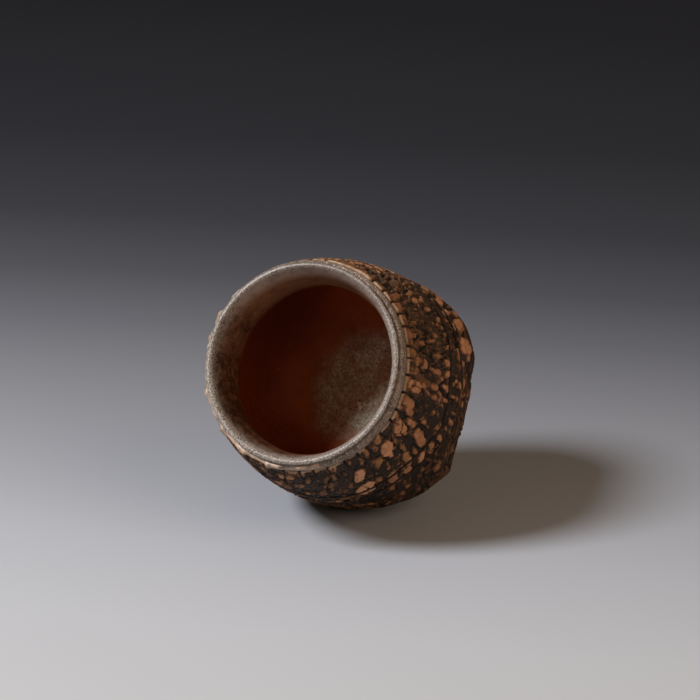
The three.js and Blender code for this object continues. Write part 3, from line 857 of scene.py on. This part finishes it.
skinBand("shoulderSkin", "shoulder_skin", lambda turn: turn * 0.0 + cup["skinEdgeDrop"],
         halfGroove(-1, upperGroove), True, 0, 0)
skinBand("waistSkin", "waist_skin", halfGroove(1, upperGroove), halfGroove(-1, lowerGroove),
         False, 2, 3)
skinBand("baseSkin", "base_skin", halfGroove(1, lowerGroove), lowerEdge, False, 4, 6)

glaze = {
    "columns": 288,
    "lipRadius": 28.3,        # at the crest
    "lipRound": 1.0,
    "lineDrop": 1.6,
    "lineDepth": 0.3,
    "collarStep": 2.0,
    "collarDrop": 3.1,
    "throatStep": 3.5,
    "throatDrop": 12.0,
    "bowlWall": 6.6,
    "bowlHeight": 29.0,
    "floorTop": 10.2,
    "thickness": 0.5,
    "endGap": 0.35,
    "step": 0.45,             # along the profile
    "wave": 0.16,             # heights of the slow waves, the throwing rings and the bits of skin
    "rings": 0.035,
    "bits": 0.75,
    "dip": 0.22,              # of the crest
    "shadeTurn": 119.0,        # middle of the side darkest in the painted shade
    "remnantTurn": 140.0,     # middle of the side where skin sticks to the lip
    "litTurn": -155.0,     # where that skin is painted palest, as painted light
    "stainX": 2.2,            # middle of the grey stain on the floor, and how far it reaches
    "stainY": -1.9,
    "stainFull": 10.0,
    "stainGone": 20.5,
    "glintX": -4.1,           # painted highlight: pale flecks on the floor
    "glintY": -2.3,
    "seed": 700,
}

# How ashen the glaze is inside the lip, with painted shade on the side away from the light, and how pale
# its crest: degrees round the cup, and shares
ashAndShadeRound = [
    (-180, 0.35), (-155, 0.45), (-108, 0.6), (-61, 0.75), (-18, 0.8), (25, 1.0), (60, 0.85),
    (90, 0.35), (119, 0.12), (140, 0.05), (165, 0.15),
]
# the next table: painted shade, darker on the crest and collar where the lamps light them most
crestShades = [(-155, 0.9), (-100, 1.0), (-61, 1.0), (-18, 0.65), (25, 0.4), (72, 0.8), (119, 1.0)]


def bezier(start, first, second, end, step):
    # the cubic curve of four points, in steps of about the given length, without its first point
    points = [np.array(p, float) for p in (start, first, second, end)]
    length = sum(np.linalg.norm(b - a) for a, b in zip(points[:-1], points[1:]))
    count = max(2, int(length / step))
    t = np.linspace(0.0, 1.0, count + 1)[1:, None]
    shares = ((1 - t) ** 3, 3 * (1 - t) ** 2 * t, 3 * (1 - t) * t ** 2, t ** 3)
    return sum(share * point for share, point in zip(shares, points))


def glazedProfile():
    # Radius and height from the middle of the floor, up the bowl, through the throat, over the lip
    # and down to the collar: cubic curves that each start where the last one ends.
    g = glaze
    top = cup["height"]
    floorTop, bowlHeight, lipRadius = g["floorTop"], g["bowlHeight"], g["lipRadius"]
    bowlRadius = cup["bellyRadius"] - g["bowlWall"]
    throatRadius = lipRadius - g["throatStep"]
    throatHeight = top - g["throatDrop"]
    bowlRise = bowlHeight - floorTop
    neckRise = throatHeight - bowlHeight
    lipSide = lipRadius + g["lipRound"]
    lipZ = top - g["lipRound"]
    lineRadius = lipSide - g["lineDepth"]
    lineZ = top - g["lineDrop"]
    collar = lipRadius + g["collarStep"]
    curves = [                # guide, guide, end, and length of a step
        ((bowlRadius * 0.66, floorTop), (bowlRadius, floorTop + bowlRise * 0.3),
         (bowlRadius, bowlHeight), 1.6),
        ((bowlRadius, bowlHeight + neckRise * 0.5), (throatRadius, throatHeight - neckRise * 0.4),
         (throatRadius, throatHeight), 1.4),
        ((throatRadius, throatHeight + g["throatDrop"] * 0.42), (lipRadius - g["throatStep"] * 0.4, top),
         (lipRadius, top), 1.0),
        ((lipRadius + g["lipRound"] * 0.7, top), (lipSide, top - g["lipRound"] * 0.5),
         (lipSide, lipZ), 0.6),
        ((lipSide, lineZ + 0.4), (lineRadius, lineZ + 0.3), (lineRadius, lineZ), 0.5),
        ((lipSide, lineZ), (collar, lineZ - 0.5), (collar, top - g["collarDrop"]), 0.6),
        ((collar, shoulderHeight + 0.9), (collar, shoulderHeight + 0.7),
         (collar - 0.05, shoulderHeight + g["endGap"]), 1.0),
    ]
    parts = []
    start = (0, floorTop)
    for first, second, end, step in curves:
        parts.append(bezier(start, first, second, end, g["step"] * step))
        start = end
    return np.concatenate(parts)


def inwardFrom(profile):
    # mm along the profile from the lip's crest, positive inwards
    steps = np.linalg.norm(np.diff(profile, axis=0, prepend=profile[:1]), axis=1)
    run = np.cumsum(steps)
    return run[profile[:, 1].argmax()] - run


glazeTints = {
    "lip": (0.300, 0.262, 0.230),
    "lipDark": (0.075, 0.052, 0.041),
    "line": (0.052, 0.032, 0.022),
    "collar": (0.185, 0.128, 0.096),
    "collarDark": (0.060, 0.038, 0.028),
    "remnant": (0.50, 0.34, 0.24),
    "slope": (0.270, 0.190, 0.155),
    "slopeDarkAndShade": (0.030, 0.012, 0.006),
    "throat": (0.140, 0.060, 0.028),
    "throatDarkAndShade": (0.028, 0.006, 0.0015),
    "oxblood": (0.285, 0.070, 0.010),
    "oxbloodDark": (0.208, 0.042, 0.006),
    # the next two: painted shade of the bowl's walls, under the throat and on its darkest side
    "oxbloodShade": (0.178, 0.031, 0.003),
    "oxbloodDeepShade": (0.098, 0.015, 0.0018),
    "floor": (0.620, 0.600, 0.500),
    "floorDark": (0.255, 0.210, 0.150),
    "fleck": (0.50, 0.44, 0.38),
    "glint": (0.95, 0.90, 0.84),
}


def bowlColour(tree, where, crumb):
    # oxblood in three steps of painted shade, and the mottled floor where the stain is painted
    stain = painted(tree, "stain", (-1300, -200))
    bowlShading = painted(tree, "bowlShading", (-1300, -800))
    cloud = noiseAt(tree, where, 95.0, 3.0, 0.6, (-1300, 200))
    blotches = noiseAt(tree, where, 230.0, 3.0, 0.6, (-1300, 1000))
    blotches = rangeOf(tree, blotches, 0.38, 0.62, 0.5, 1.1, (-1100, 1000))
    red = blendOf(tree, rangeOf(tree, cloud, 0.36, 0.62, 0.0, 1.0, (-700, 700)),
                  glazeTints["oxbloodDark"], glazeTints["oxblood"], (-500, 700))
    shadedRed = blendOf(tree, rangeOf(tree, bowlShading, 0.0, 0.5, 0.0, 1.0, (-1100, -800)),
                   glazeTints["oxbloodDeepShade"], glazeTints["oxbloodShade"], (-500, 850))
    red = blendOf(tree, rangeOf(tree, bowlShading, 0.5, 1.0, 0.0, 1.0, (-1100, -950)), shadedRed, red, (-400, 700))
    floor = blendOf(tree, rangeOf(tree, crumb, 0.38, 0.64, 0.0, 1.0, (-700, 850)),
                    glazeTints["floorDark"], glazeTints["floor"], (-500, 550))
    return blendOf(tree, productOf(tree, stain, blotches, (-500, 400)), red, floor, (-300, 600))


def neckColours(tree, fine, mottle):
    # the slope inside the lip and the throat under it, patchy and grainy, pale where ash is painted and
    # dark where painted shade is
    ashAndShade = painted(tree, "ashAndShade", (-1300, -350))
    patchy = rangeOf(tree, mottle, 0.34, 0.66, -1.0, 1.0, (-1100, -350))
    grainy = rangeOf(tree, fine, 0.3, 0.7, -1.0, 1.0, (-900, -450))
    ashenAndLit = sumOf(tree, ashAndShade, patchy, 0.32, (-900, -350))
    ashenAndLit = sumOf(tree, ashenAndLit, grainy, 0.15, (-800, -350))
    ashenAndLit = rangeOf(tree, ashenAndLit, 0.0, 1.0, 0.0, 1.0, (-700, -350))
    slope = blendOf(tree, ashenAndLit, glazeTints["slopeDarkAndShade"], glazeTints["slope"], (-500, 250))
    throat = blendOf(tree, ashenAndLit, glazeTints["throatDarkAndShade"], glazeTints["throat"], (-500, 400))
    return slope, throat


def lipColours(tree, fine, mottle):
    # the speckled crest, and the patchy, flecked collar with its remains of skin; crest and collar are
    # darkened by painted shade, and the crest's pale grey is glaze colour and partly a painted highlight
    pale = painted(tree, "crest", (-1300, -950))
    remnant = painted(tree, "remnant", (-1300, -500))
    speckle = rangeOf(tree, fine, 0.38, 0.6, 0.0, 1.0, (-1100, 600))
    patch = rangeOf(tree, mottle, 0.36, 0.62, 0.0, 1.0, (-1100, 450))
    crest = blendOf(tree, productOf(tree, speckle, pale, (-700, 100)),
                    glazeTints["lipDark"], glazeTints["lip"], (-500, 100))
    collar = blendOf(tree, productOf(tree, patch, pale, (-700, 0)),
                     glazeTints["collarDark"], glazeTints["collar"], (-500, -50))
    collar = blendOf(tree, rangeOf(tree, fine, 0.52, 0.66, 0.0, 0.6, (-700, -50)),
                     collar, glazeTints["fleck"], (-400, -20))
    remains = blendOf(tree, patch, glazeTints["collar"], glazeTints["remnant"], (-500, -200))
    return crest, blendOf(tree, remnant, collar, remains, (-300, -100))


def linerGlazeMaterial():
    material, tree, shader, where = newMaterial("dark red liner glaze")
    inward = painted(tree, "inward", (-1300, 0))
    fine = noiseAt(tree, where, 2400.0, 2.0, 0.6, (-1300, 600))
    mottle = noiseAt(tree, where, 420.0, 4.0, 0.62, (-1300, 400))
    crumb = noiseAt(tree, where, 1100.0, 4.0, 0.7, (-1300, 800))
    wander = rangeOf(tree, mottle, 0.3, 0.7, -1.0, 1.0, (-1100, 300))
    edge = sumOf(tree, inward, wander, 0.6, (-900, 200))
    outer = sumOf(tree, inward, wander, 0.3, (-900, 50))
    crest, collar = lipColours(tree, fine, mottle)
    slope, throat = neckColours(tree, fine, mottle)
    bowl = bowlColour(tree, where, crumb)

    # mm inwards from the crest at which each of these begins, and has replaced the last
    colour = collar
    for reached, start, full, tint, x in (
        (outer, -2.4, -1.9, glazeTints["line"], -100), (outer, -1.3, -0.8, crest, 50),
        (edge, 0.1, 3.4, slope, 200), (edge, 2.8, 6.6, throat, 350), (edge, 12.0, 25.0, bowl, 500),
    ):
        share = rangeOf(tree, reached, start, full, 0.0, 1.0, (x - 200, -450))
        colour = blendOf(tree, share, colour, tint, (x, 0))
    # painted highlight: pale flecks on the floor of the bowl
    glint = sumOf(tree, painted(tree, "glint", (-1300, -650)), crumb, 3.0, (-900, -850))
    glint = rangeOf(tree, glint, 2.35, 2.65, 0.0, 0.9, (-500, -850))
    colour = blendOf(tree, glint, colour, glazeTints["glint"], (600, 150))
    flecks = rangeOf(tree, fine, 0.66, 0.74, 0.0, 0.4, (-300, -400))
    colour = blendOf(tree, flecks, colour, glazeTints["fleck"], (650, 100))
    tree.links.new(colour, shader.inputs["Base Color"])

    rough = rangeOf(tree, edge, 1.0, 9.0, 0.40, 0.55, (300, -200))
    tree.links.new(rough, shader.inputs["Roughness"])
    small = bumpOf(tree, fine, 0.25, 0.0001, (100, -500))
    large = bumpOf(tree, mottle, 0.35, 0.0003, (300, -500))
    tree.links.new(small.outputs["Normal"], large.inputs["Normal"])
    tree.links.new(large.outputs["Normal"], shader.inputs["Normal"])
    shine = rangeOf(tree, edge, 3.0, 14.0, 0.32, 0.14, (300, -350))
    tree.links.new(shine, shader.inputs["Specular IOR Level"])
    return material


def glazeSurface(profile, normal, inward, turn):
    # The free surface: the profile moved square to itself by slow waves, by sines for the throwing
    # rings of the bowl, and by bits of skin stuck outside the lip; and the crest dips a little.
    seed = glaze["seed"]
    shape = (len(profile), turn.size)
    inwards = np.broadcast_to(inward[:, None], shape)
    around = np.broadcast_to(turn / 360.0 * girth, shape)
    plainRadius, plainZ = turnedGrid(profile, turn)
    plan = fromTurns(np.broadcast_to(turn, shape), plainRadius, plainZ)
    wave = roughNoise(around, inwards * 0.6, 16.0, 12.0, 3, seed)
    lumpy = roughNoise(plan[..., 0] + 60.0, plan[..., 1] + 40.0, 9.0, 9.0, 3, seed + 5)
    wave = mixed(glaze["wave"] * wave, glaze["wave"] * lumpy, smooth(14.0, 30.0, inwards))
    inBowl = smooth(10.0, 20.0, inwards) * smooth(2.0, 12.0, plainRadius)
    rings = glaze["rings"] * np.sin(inwards * 1.6 + np.radians(turn)[None, :]) * inBowl
    stuck = smooth(0.2, 0.5, facing(turn, glaze["remnantTurn"]))
    bits = smooth(-0.1, 0.7, roughNoise(around, inwards, 3.6, 3.0, 3, seed + 30)) * stuck
    swell = (wave + rings) * smooth(-4.6, -3.2, inwards)
    bits = glaze["bits"] * bits * smooth(-5.4, -4.2, inwards) * (1.0 - smooth(-3.0, -2.4, inwards))
    swell = swell + bits
    radius = profile[:, :1] + normal[:, :1] * swell
    z = profile[:, 1:] + normal[:, 1:] * swell
    crest = np.exp(-((inwards + 0.4) / 2.4) ** 2)
    return radius, z - glaze["dip"] * (1.0 + softNoise(around, inwards * 0.0, 30.0, 9.0, seed + 9)) * crest


def paintGlaze(piece, points, inward, turn):
    # The grey, mottled stain lies over the floor, with painted highlight flecks on it. Painted shade
    # darkens the bowl up under the throat, most on one side; on that side bits of the tan skin stick to
    # the outside of the lip, painted paler towards the lit side as painted light.
    x, y = points[..., 0], points[..., 1]
    inBowl = smooth(14.0, 22.0, inward)
    ragged = 2.2 * roughNoise(x + 60.0, y + 40.0, 7.0, 7.0, 3, glaze["seed"] + 20)
    fromStain = np.hypot(x - glaze["stainX"], y - glaze["stainY"])
    stain = 1.0 - smooth(glaze["stainFull"], glaze["stainGone"], fromStain + ragged)
    glint = np.exp(-(((x - glaze["glintX"]) / 2.2) ** 2 + ((y - glaze["glintY"]) / 3.4) ** 2))
    # painted shade in the bowl: darker up under the throat, darkest on the side away from the light
    dark = facing(turn, glaze["shadeTurn"])
    bowlShading = smooth(41.0, 55.0, inward + 22.0 * (1.0 - smooth(-0.4, 0.6, dark)) + ragged)
    black = smooth(-0.2, 0.5, dark) * (1.0 - smooth(46.0, 56.0, inward + 0.5 * ragged))
    stuck = smooth(0.2, 0.5, facing(turn, glaze["remnantTurn"]) + 0.1 * ragged)
    # painted light: the bits of skin on the lip paler round towards the lit side
    litSide = smooth(0.1, 0.9, facing(turn, glaze["litTurn"]))
    paint(piece, "inward", inward)
    paint(piece, "stain", stain * inBowl)
    paint(piece, "glint", glint * inBowl)
    # ash, and painted shade: the slope and throat darkest on the side away from the light
    paint(piece, "ashAndShade", np.clip(roundTheCup(ashAndShadeRound, turn)[None, :] + 0.06 * ragged, 0.0, 1.0))
    # painted shade on the crest and collar, darker where the lamps light them most
    paint(piece, "crest", np.broadcast_to(roundTheCup(crestShades, turn), inward.shape))
    paint(piece, "bowlShading", 0.5 + 0.5 * bowlShading - 0.5 * black)
    paint(piece, "remnant", stuck * mixed(0.4, 1.0, litSide))


def makeLinerGlaze():
    # a turned shell: its free surface, and its back, a glaze thickness into the clay
    profile = glazedProfile()
    normal = leftNormals(profile)
    inward = inwardFrom(profile)
    turn = directions(glaze["columns"])
    radius, z = glazeSurface(profile, normal, inward, turn)
    keep = np.arange(len(profile) - 1, -1, -4)
    backRadius, backZ = turnedGrid(profile[keep] - normal[keep] * glaze["thickness"], turn)
    allRadius = np.concatenate([radius, np.maximum(backRadius, 0.3)])
    allZ = np.concatenate([z, backZ])
    points = fromTurns(np.broadcast_to(turn, allZ.shape), allRadius, allZ)
    floorMiddle = (0.0, 0.0, glaze["floorTop"])
    backMiddle = (0.0, 0.0, glaze["floorTop"] - glaze["thickness"])
    piece = surfaceMesh("linerGlaze", points, False, floorMiddle, backMiddle)
    allInward = np.full(allZ.shape, 40.0)
    allInward[:len(profile)] = inward[:, None]
    paintGlaze(piece, points, allInward, turn)
    dress(piece, "liner_glaze", linerGlazeMaterial())
    print("linerGlaze", len(piece.data.vertices), "vertices")
    return piece


makeLinerGlaze()

clayTints = {
    "clay": (0.24, 0.145, 0.090),
    "clayDark": (0.115, 0.067, 0.045),
    "grog": (0.42, 0.30, 0.21),
}


def bareClayMaterial():
    material, tree, shader, where = newMaterial("bare fired clay")
    fine = noiseAt(tree, where, 2200.0, 2.0, 0.6, (-1200, 400))
    cloud = noiseAt(tree, where, 120.0, 4.0, 0.6, (-1200, 200))
    # black where it is painted on the wall under the skin
    soot = painted(tree, "soot", (-1200, 0))
    clay = blendOf(tree, rangeOf(tree, cloud, 0.35, 0.65, 0.0, 1.0, (-900, 200)),
                   clayTints["clayDark"], clayTints["clay"], (-600, 200))
    grogShare = rangeOf(tree, fine, 0.64, 0.7, 0.0, 1.0, (-900, 400))
    colour = blendOf(tree, grogShare, clay, clayTints["grog"], (-300, 200))
    colour = blendOf(tree, soot, colour, skinTints["crack"], (0, 200))
    tree.links.new(colour, shader.inputs["Base Color"])
    tree.links.new(rangeOf(tree, fine, 0.3, 0.7, 0.75, 0.95, (0, 0)), shader.inputs["Roughness"])
    bump = bumpOf(tree, fine, 0.5, 0.0002, (100, -400))
    tree.links.new(bump.outputs["Normal"], shader.inputs["Normal"])
    return material


clayMaterial = bareClayMaterial()
foot = {
    "columns": 288,
    "radius": 21.0,
    "width": 4.2,
    "height": 4.2,
    "taper": 0.7,
    "edge": 0.5,
    "recessDepth": 5.0,
    "seed": 820,
}

clayBody = {
    "undersideRise": 0.4,     # of the bare underside, above the skin's lower edge
    "wallRows": 60,
    "poleRadius": 0.4,        # of the small hole that each pole closes
    "rings": 0.07,            # height of the turning marks on the underside
    "layerGap": 0.1,          # under the glaze and over the foot
    "skinGap": 0.3,
}


def filled(profile, step):
    # the same outline with points added along each side, at most a step apart
    points = [np.array(profile[0], float)[None]]
    for start, end in zip(profile[:-1], profile[1:]):
        start, end = np.array(start, float), np.array(end, float)
        count = max(1, int(np.linalg.norm(end - start) / step))
        points.append(start + (end - start) * np.linspace(0.0, 1.0, count + 1)[1:, None])
    return np.concatenate(points)


def makeClayBody():
    # A turned solid: along the underside from its middle, up the wall under the skin, and back over
    # the lip and down the bowl under the glaze
    inner = foot["radius"] - foot["width"]
    rise = foot["recessDepth"] - foot["height"]
    underZ = foot["height"] + clayBody["layerGap"]
    baseZ = cup["baseHeight"] + clayBody["undersideRise"]
    wallZ = np.linspace(baseZ, shoulderHeight, clayBody["wallRows"])
    wallRadius = innerSkinRadius(wallZ) - clayBody["skinGap"]
    poleRadius = clayBody["poleRadius"]
    under = filled([
        (poleRadius, foot["recessDepth"]), (inner - 2 * rise, foot["recessDepth"]),
        (inner - rise, underZ), (foot["radius"], underZ), (float(wallRadius[0]), baseZ),
    ], 0.5)
    front = glazedProfile()[::-1][::3]
    inside = front + leftNormals(front) * (glaze["thickness"] + clayBody["layerGap"])
    inside = inside[inside[:, 0] > poleRadius]
    profile = np.concatenate([under, np.stack([wallRadius, wallZ], -1)[1:], inside])[::-1]
    turn = directions(foot["columns"])
    radius, z = turnedGrid(profile, turn)
    rings = clayBody["rings"] * np.sin(radius * 3.4 + np.radians(turn)[None, :])
    z = z + np.where(z < baseZ + 0.05, rings, 0.0) * window(radius, 1.0, 3.0, 27.0, 28.0)
    points = fromTurns(np.broadcast_to(turn, z.shape), radius, z)
    top = (0.0, 0.0, float(profile[0, 1]))
    bottom = (0.0, 0.0, foot["recessDepth"])
    piece = surfaceMesh("clayBody", points, False, top, bottom)
    # black over the wall under the skin, which shows only through the skin's grooves and slits
    soot = window(z, baseZ + 0.2, baseZ + 1.5, shoulderHeight - 0.6, shoulderHeight)
    paint(piece, "soot", soot)
    dress(piece, "clay_body", clayMaterial)
    return piece


def makeFootRing():
    # A turned ring with leaning sides, bevelled and a little worn round its standing face
    inner = foot["radius"] - foot["width"]
    taper, edge = foot["taper"], foot["edge"]
    profile = filled([
        (inner, foot["height"]), (inner + taper, edge), (inner + taper + edge, 0.0),
        (foot["radius"] - taper - edge, 0.0), (foot["radius"] - taper, edge),
        (foot["radius"], foot["height"]), (inner, foot["height"]),
    ], 0.3)[:-1][::-1]
    turn = directions(foot["columns"])
    radius, z = turnedGrid(profile, turn)
    around = np.broadcast_to(turn / 360.0 * girth, z.shape)
    worn = 0.06 * np.sin(z * 6.0) + 0.1 * softNoise(around, z, 8.0, 6.0, foot["seed"])
    radius = radius + window(z, 0.0, 0.8, 3.4, 4.0) * worn
    points = fromTurns(np.broadcast_to(turn, z.shape), radius, z)
    piece = surfaceMesh("footRing", points, True)
    paint(piece, "soot", 0.0 * z)
    dress(piece, "foot_ring", clayMaterial)
    return piece


makeClayBody()
makeFootRing()
print("clay body and foot ring ready")

# Where the photograph was taken from. Pixels are those of its 700 by 700 frame.
view = {
    "frameWidth": 700,
    "frameSize": 0.198,            # metres across the frame, at the mouth
    "distance": 0.9,               # camera to mouth
    "tilt": 22.5,                  # between the cup's axis and the line of sight
    "roll": 27.0,                  # of the cup's axis in the picture, down from level
    "mouthX": 300.3,               # middle of the mouth
    "mouthY": 362.6,
}


def placeCamera():
    # Camera axes are x right, y down and z forward. The cup's axis, from mouth to base, is a unit
    # vector there; the cup's x and y axes follow from it, and their rows turn camera axes into the
    # cup's.
    tilt, roll = math.radians(view["tilt"]), math.radians(view["roll"])
    intoCup = Vector((math.sin(tilt) * math.cos(roll), math.sin(tilt) * math.sin(roll), math.cos(tilt)))
    cupX = Vector((math.sin(roll), -math.cos(roll), 0.0))
    cupZ = -intoCup
    cupY = cupZ.cross(cupX)
    toCup = Matrix((cupX, cupY, cupZ))
    half = view["frameWidth"] / 2
    pixel = view["frameSize"] / view["frameWidth"]
    mouthX = (view["mouthX"] - half) * pixel
    mouthY = (view["mouthY"] - half) * pixel
    mouth = Vector((mouthX, mouthY, view["distance"]))
    place = Vector((0.0, 0.0, cup["height"] * mm)) - toCup @ mouth
    right = toCup @ Vector((1, 0, 0))
    up = toCup @ Vector((0, -1, 0))
    back = toCup @ Vector((0, 0, -1))
    data = bpy.data.cameras.new("camera")
    data.sensor_width = 36.0
    data.lens = data.sensor_width * view["distance"] / (view["frameWidth"] * pixel)
    data.clip_start = 0.01
    camera = bpy.data.objects.new("camera", data)
    turned = Matrix((right, up, back)).transposed().to_4x4()
    turned.translation = place
    camera.matrix_world = turned
    bpy.context.scene.collection.objects.link(camera)
    bpy.context.scene.camera = camera
    return right, up, back


cameraRight, cameraUp, cameraBack = placeCamera()

# In the photograph the cup lies on its side. It stays upright here, so the floor is tilted against it:
# its normal is the camera's up and back directions mixed by the angle at which the camera looks down.
studio = {
    "cameraPitch": 18.0,           # degrees below level
    "floorFalloffShades": [               # painted falloff of the light: metres behind the cup, how pale the floor is there, and how blue
        (-0.35, 0.385, 0.0), (-0.20, 0.378, 0.3), (-0.12, 0.368, 0.7), (-0.06, 0.330, 1.0),
        (0.06, 0.203, 1.2), (0.15, 0.112, 1.7), (0.21, 0.067, 2.0), (0.29, 0.0375, 2.4),
        (0.42, 0.0225, 3.0), (0.70, 0.0155, 4.0),
    ],
    "falloffSlant": 0.20,            # how much sooner the painted falloff darkens it to the right
    "floorHalf": 3.0,
    "lampCentre": 0.03,            # metres up the cup's axis, where both lamps point
    "keyFrom": (-0.668, -0.268, 0.682),      # to the right, away from the camera, and up
    "keyDistance": 1.3,
    "keySize": 0.38,
    "keyPower": 26.5,
    "keyTint": (0.95, 0.98, 1.0),
    "fillFrom": (0.60, -0.60, 0.53),
    "fillDistance": 1.1,
    "fillSize": 0.8,
    "fillPower": 4.6,
    "fillTint": (1.0, 0.80, 0.60),
    "worldStrength": 0.19,
    "worldTint": (1.0, 0.72, 0.48),
    "behindTint": (0.42, 0.42, 0.43),        # what is seen past the floor
}


def areaLamp(name, axes):
    centre = Vector((0.0, 0.0, studio["lampCentre"]))
    data = bpy.data.lights.new(name, "AREA")
    data.shape = "DISK"
    data.size = studio[name + "Size"]
    data.energy = studio[name + "Power"]
    data.color = studio[name + "Tint"]
    lamp = bpy.data.objects.new(name, data)
    direction = (axes @ Vector(studio[name + "From"])).normalized()
    lamp.location = centre + direction * studio[name + "Distance"]
    lamp.rotation_euler = (lamp.location - centre).to_track_quat("Z", "Y").to_euler()
    bpy.context.scene.collection.objects.link(lamp)


def lowestAlong(direction):
    # the least of the dot products of the direction with the places of the pieces' vertices
    lowest = 1.0
    for piece in bpy.context.scene.objects:
        if piece.type == "MESH" and piece.name.endswith(("Skin", "Ring")):
            places = np.empty(len(piece.data.vertices) * 3, np.float32)
            piece.data.vertices.foreach_get("co", places)
            lowest = min(lowest, float((places.reshape(-1, 3) @ np.array(direction)).min()))
    return lowest


def floorMaterial():
    # paler near the cup and darker behind it, as painted falloff of the light; from below, it is seen
    # through
    material, tree, shader, where = newMaterial("pale floor")
    apart = nodeOf(tree, "ShaderNodeSeparateXYZ", (-1300, 0))
    tree.links.new(where, apart.inputs[0])
    slanted = sumOf(tree, apart.outputs["Y"], apart.outputs["X"], studio["falloffSlant"], (-1100, 0))
    near, far = studio["floorFalloffShades"][0][0], studio["floorFalloffShades"][-1][0]
    share = rangeOf(tree, slanted, near, far, 0.0, 1.0, (-900, 0))
    ramp = nodeOf(tree, "ShaderNodeValToRGB", (-700, 0))
    stops = ramp.color_ramp.elements
    for index, (distance, shade, blue) in enumerate(studio["floorFalloffShades"]):
        place = (distance - near) / (far - near)
        stop = stops[index] if index < 2 else stops.new(place)
        stop.position = place
        stop.color = (shade * (1.0 - 0.02 * blue), shade, shade * (1.0 + 0.1 * blue), 1.0)
    tree.links.new(share, ramp.inputs[0])
    tree.links.new(ramp.outputs[0], shader.inputs["Base Color"])
    shader.inputs["Roughness"].default_value = 0.9
    shader.inputs["Specular IOR Level"].default_value = 0.1
    through = nodeOf(tree, "ShaderNodeBsdfTransparent", (0, -500))
    under = nodeOf(tree, "ShaderNodeNewGeometry", (0, 500))
    surface = nodeOf(tree, "ShaderNodeMixShader", (300, 0))
    tree.links.new(under.outputs["Backfacing"], surface.inputs[0])
    tree.links.new(shader.outputs[0], surface.inputs[1])
    tree.links.new(through.outputs[0], surface.inputs[2])
    tree.links.new(surface.outputs[0], tree.nodes["Material Output"].inputs["Surface"])
    return material


def makeWorld():
    # warm light from all round; the camera itself sees plain grey past the floor
    world = bpy.data.worlds.new("studio")
    world.use_nodes = True
    tree = world.node_tree
    background = tree.nodes["Background"]
    background.inputs["Color"].default_value = studio["worldTint"] + (1.0,)
    background.inputs["Strength"].default_value = studio["worldStrength"]
    behind = nodeOf(tree, "ShaderNodeBackground", (0, -300))
    behind.inputs["Color"].default_value = studio["behindTint"] + (1.0,)
    path = nodeOf(tree, "ShaderNodeLightPath", (0, 300))
    either = nodeOf(tree, "ShaderNodeMixShader", (300, 0))
    tree.links.new(path.outputs["Is Camera Ray"], either.inputs[0])
    tree.links.new(background.outputs[0], either.inputs[1])
    tree.links.new(behind.outputs[0], either.inputs[2])
    tree.links.new(either.outputs[0], tree.nodes["World Output"].inputs["Surface"])
    bpy.context.scene.world = world


def makeStudio():
    half = studio["floorHalf"]
    corners = [(-half, -half, 0), (half, -half, 0), (half, half, 0), (-half, half, 0)]
    mesh = bpy.data.meshes.new("floor")
    mesh.from_pydata(corners, [], [(0, 1, 2, 3)])
    floor = bpy.data.objects.new("floor", mesh)
    bpy.context.scene.collection.objects.link(floor)
    pitch = math.radians(studio["cameraPitch"])
    floorUp = cameraUp * math.cos(pitch) + cameraBack * math.sin(pitch)
    axes = Matrix((cameraRight, floorUp.cross(cameraRight), floorUp)).transposed()
    placed = axes.to_4x4()
    placed.translation = floorUp * lowestAlong(floorUp)
    floor.matrix_world = placed
    mesh.materials.append(floorMaterial())
    areaLamp("key", axes)
    areaLamp("fill", axes)
    makeWorld()
    bpy.context.scene.view_settings.view_transform = "Standard"


makeStudio()
print("camera, floor and lights ready")
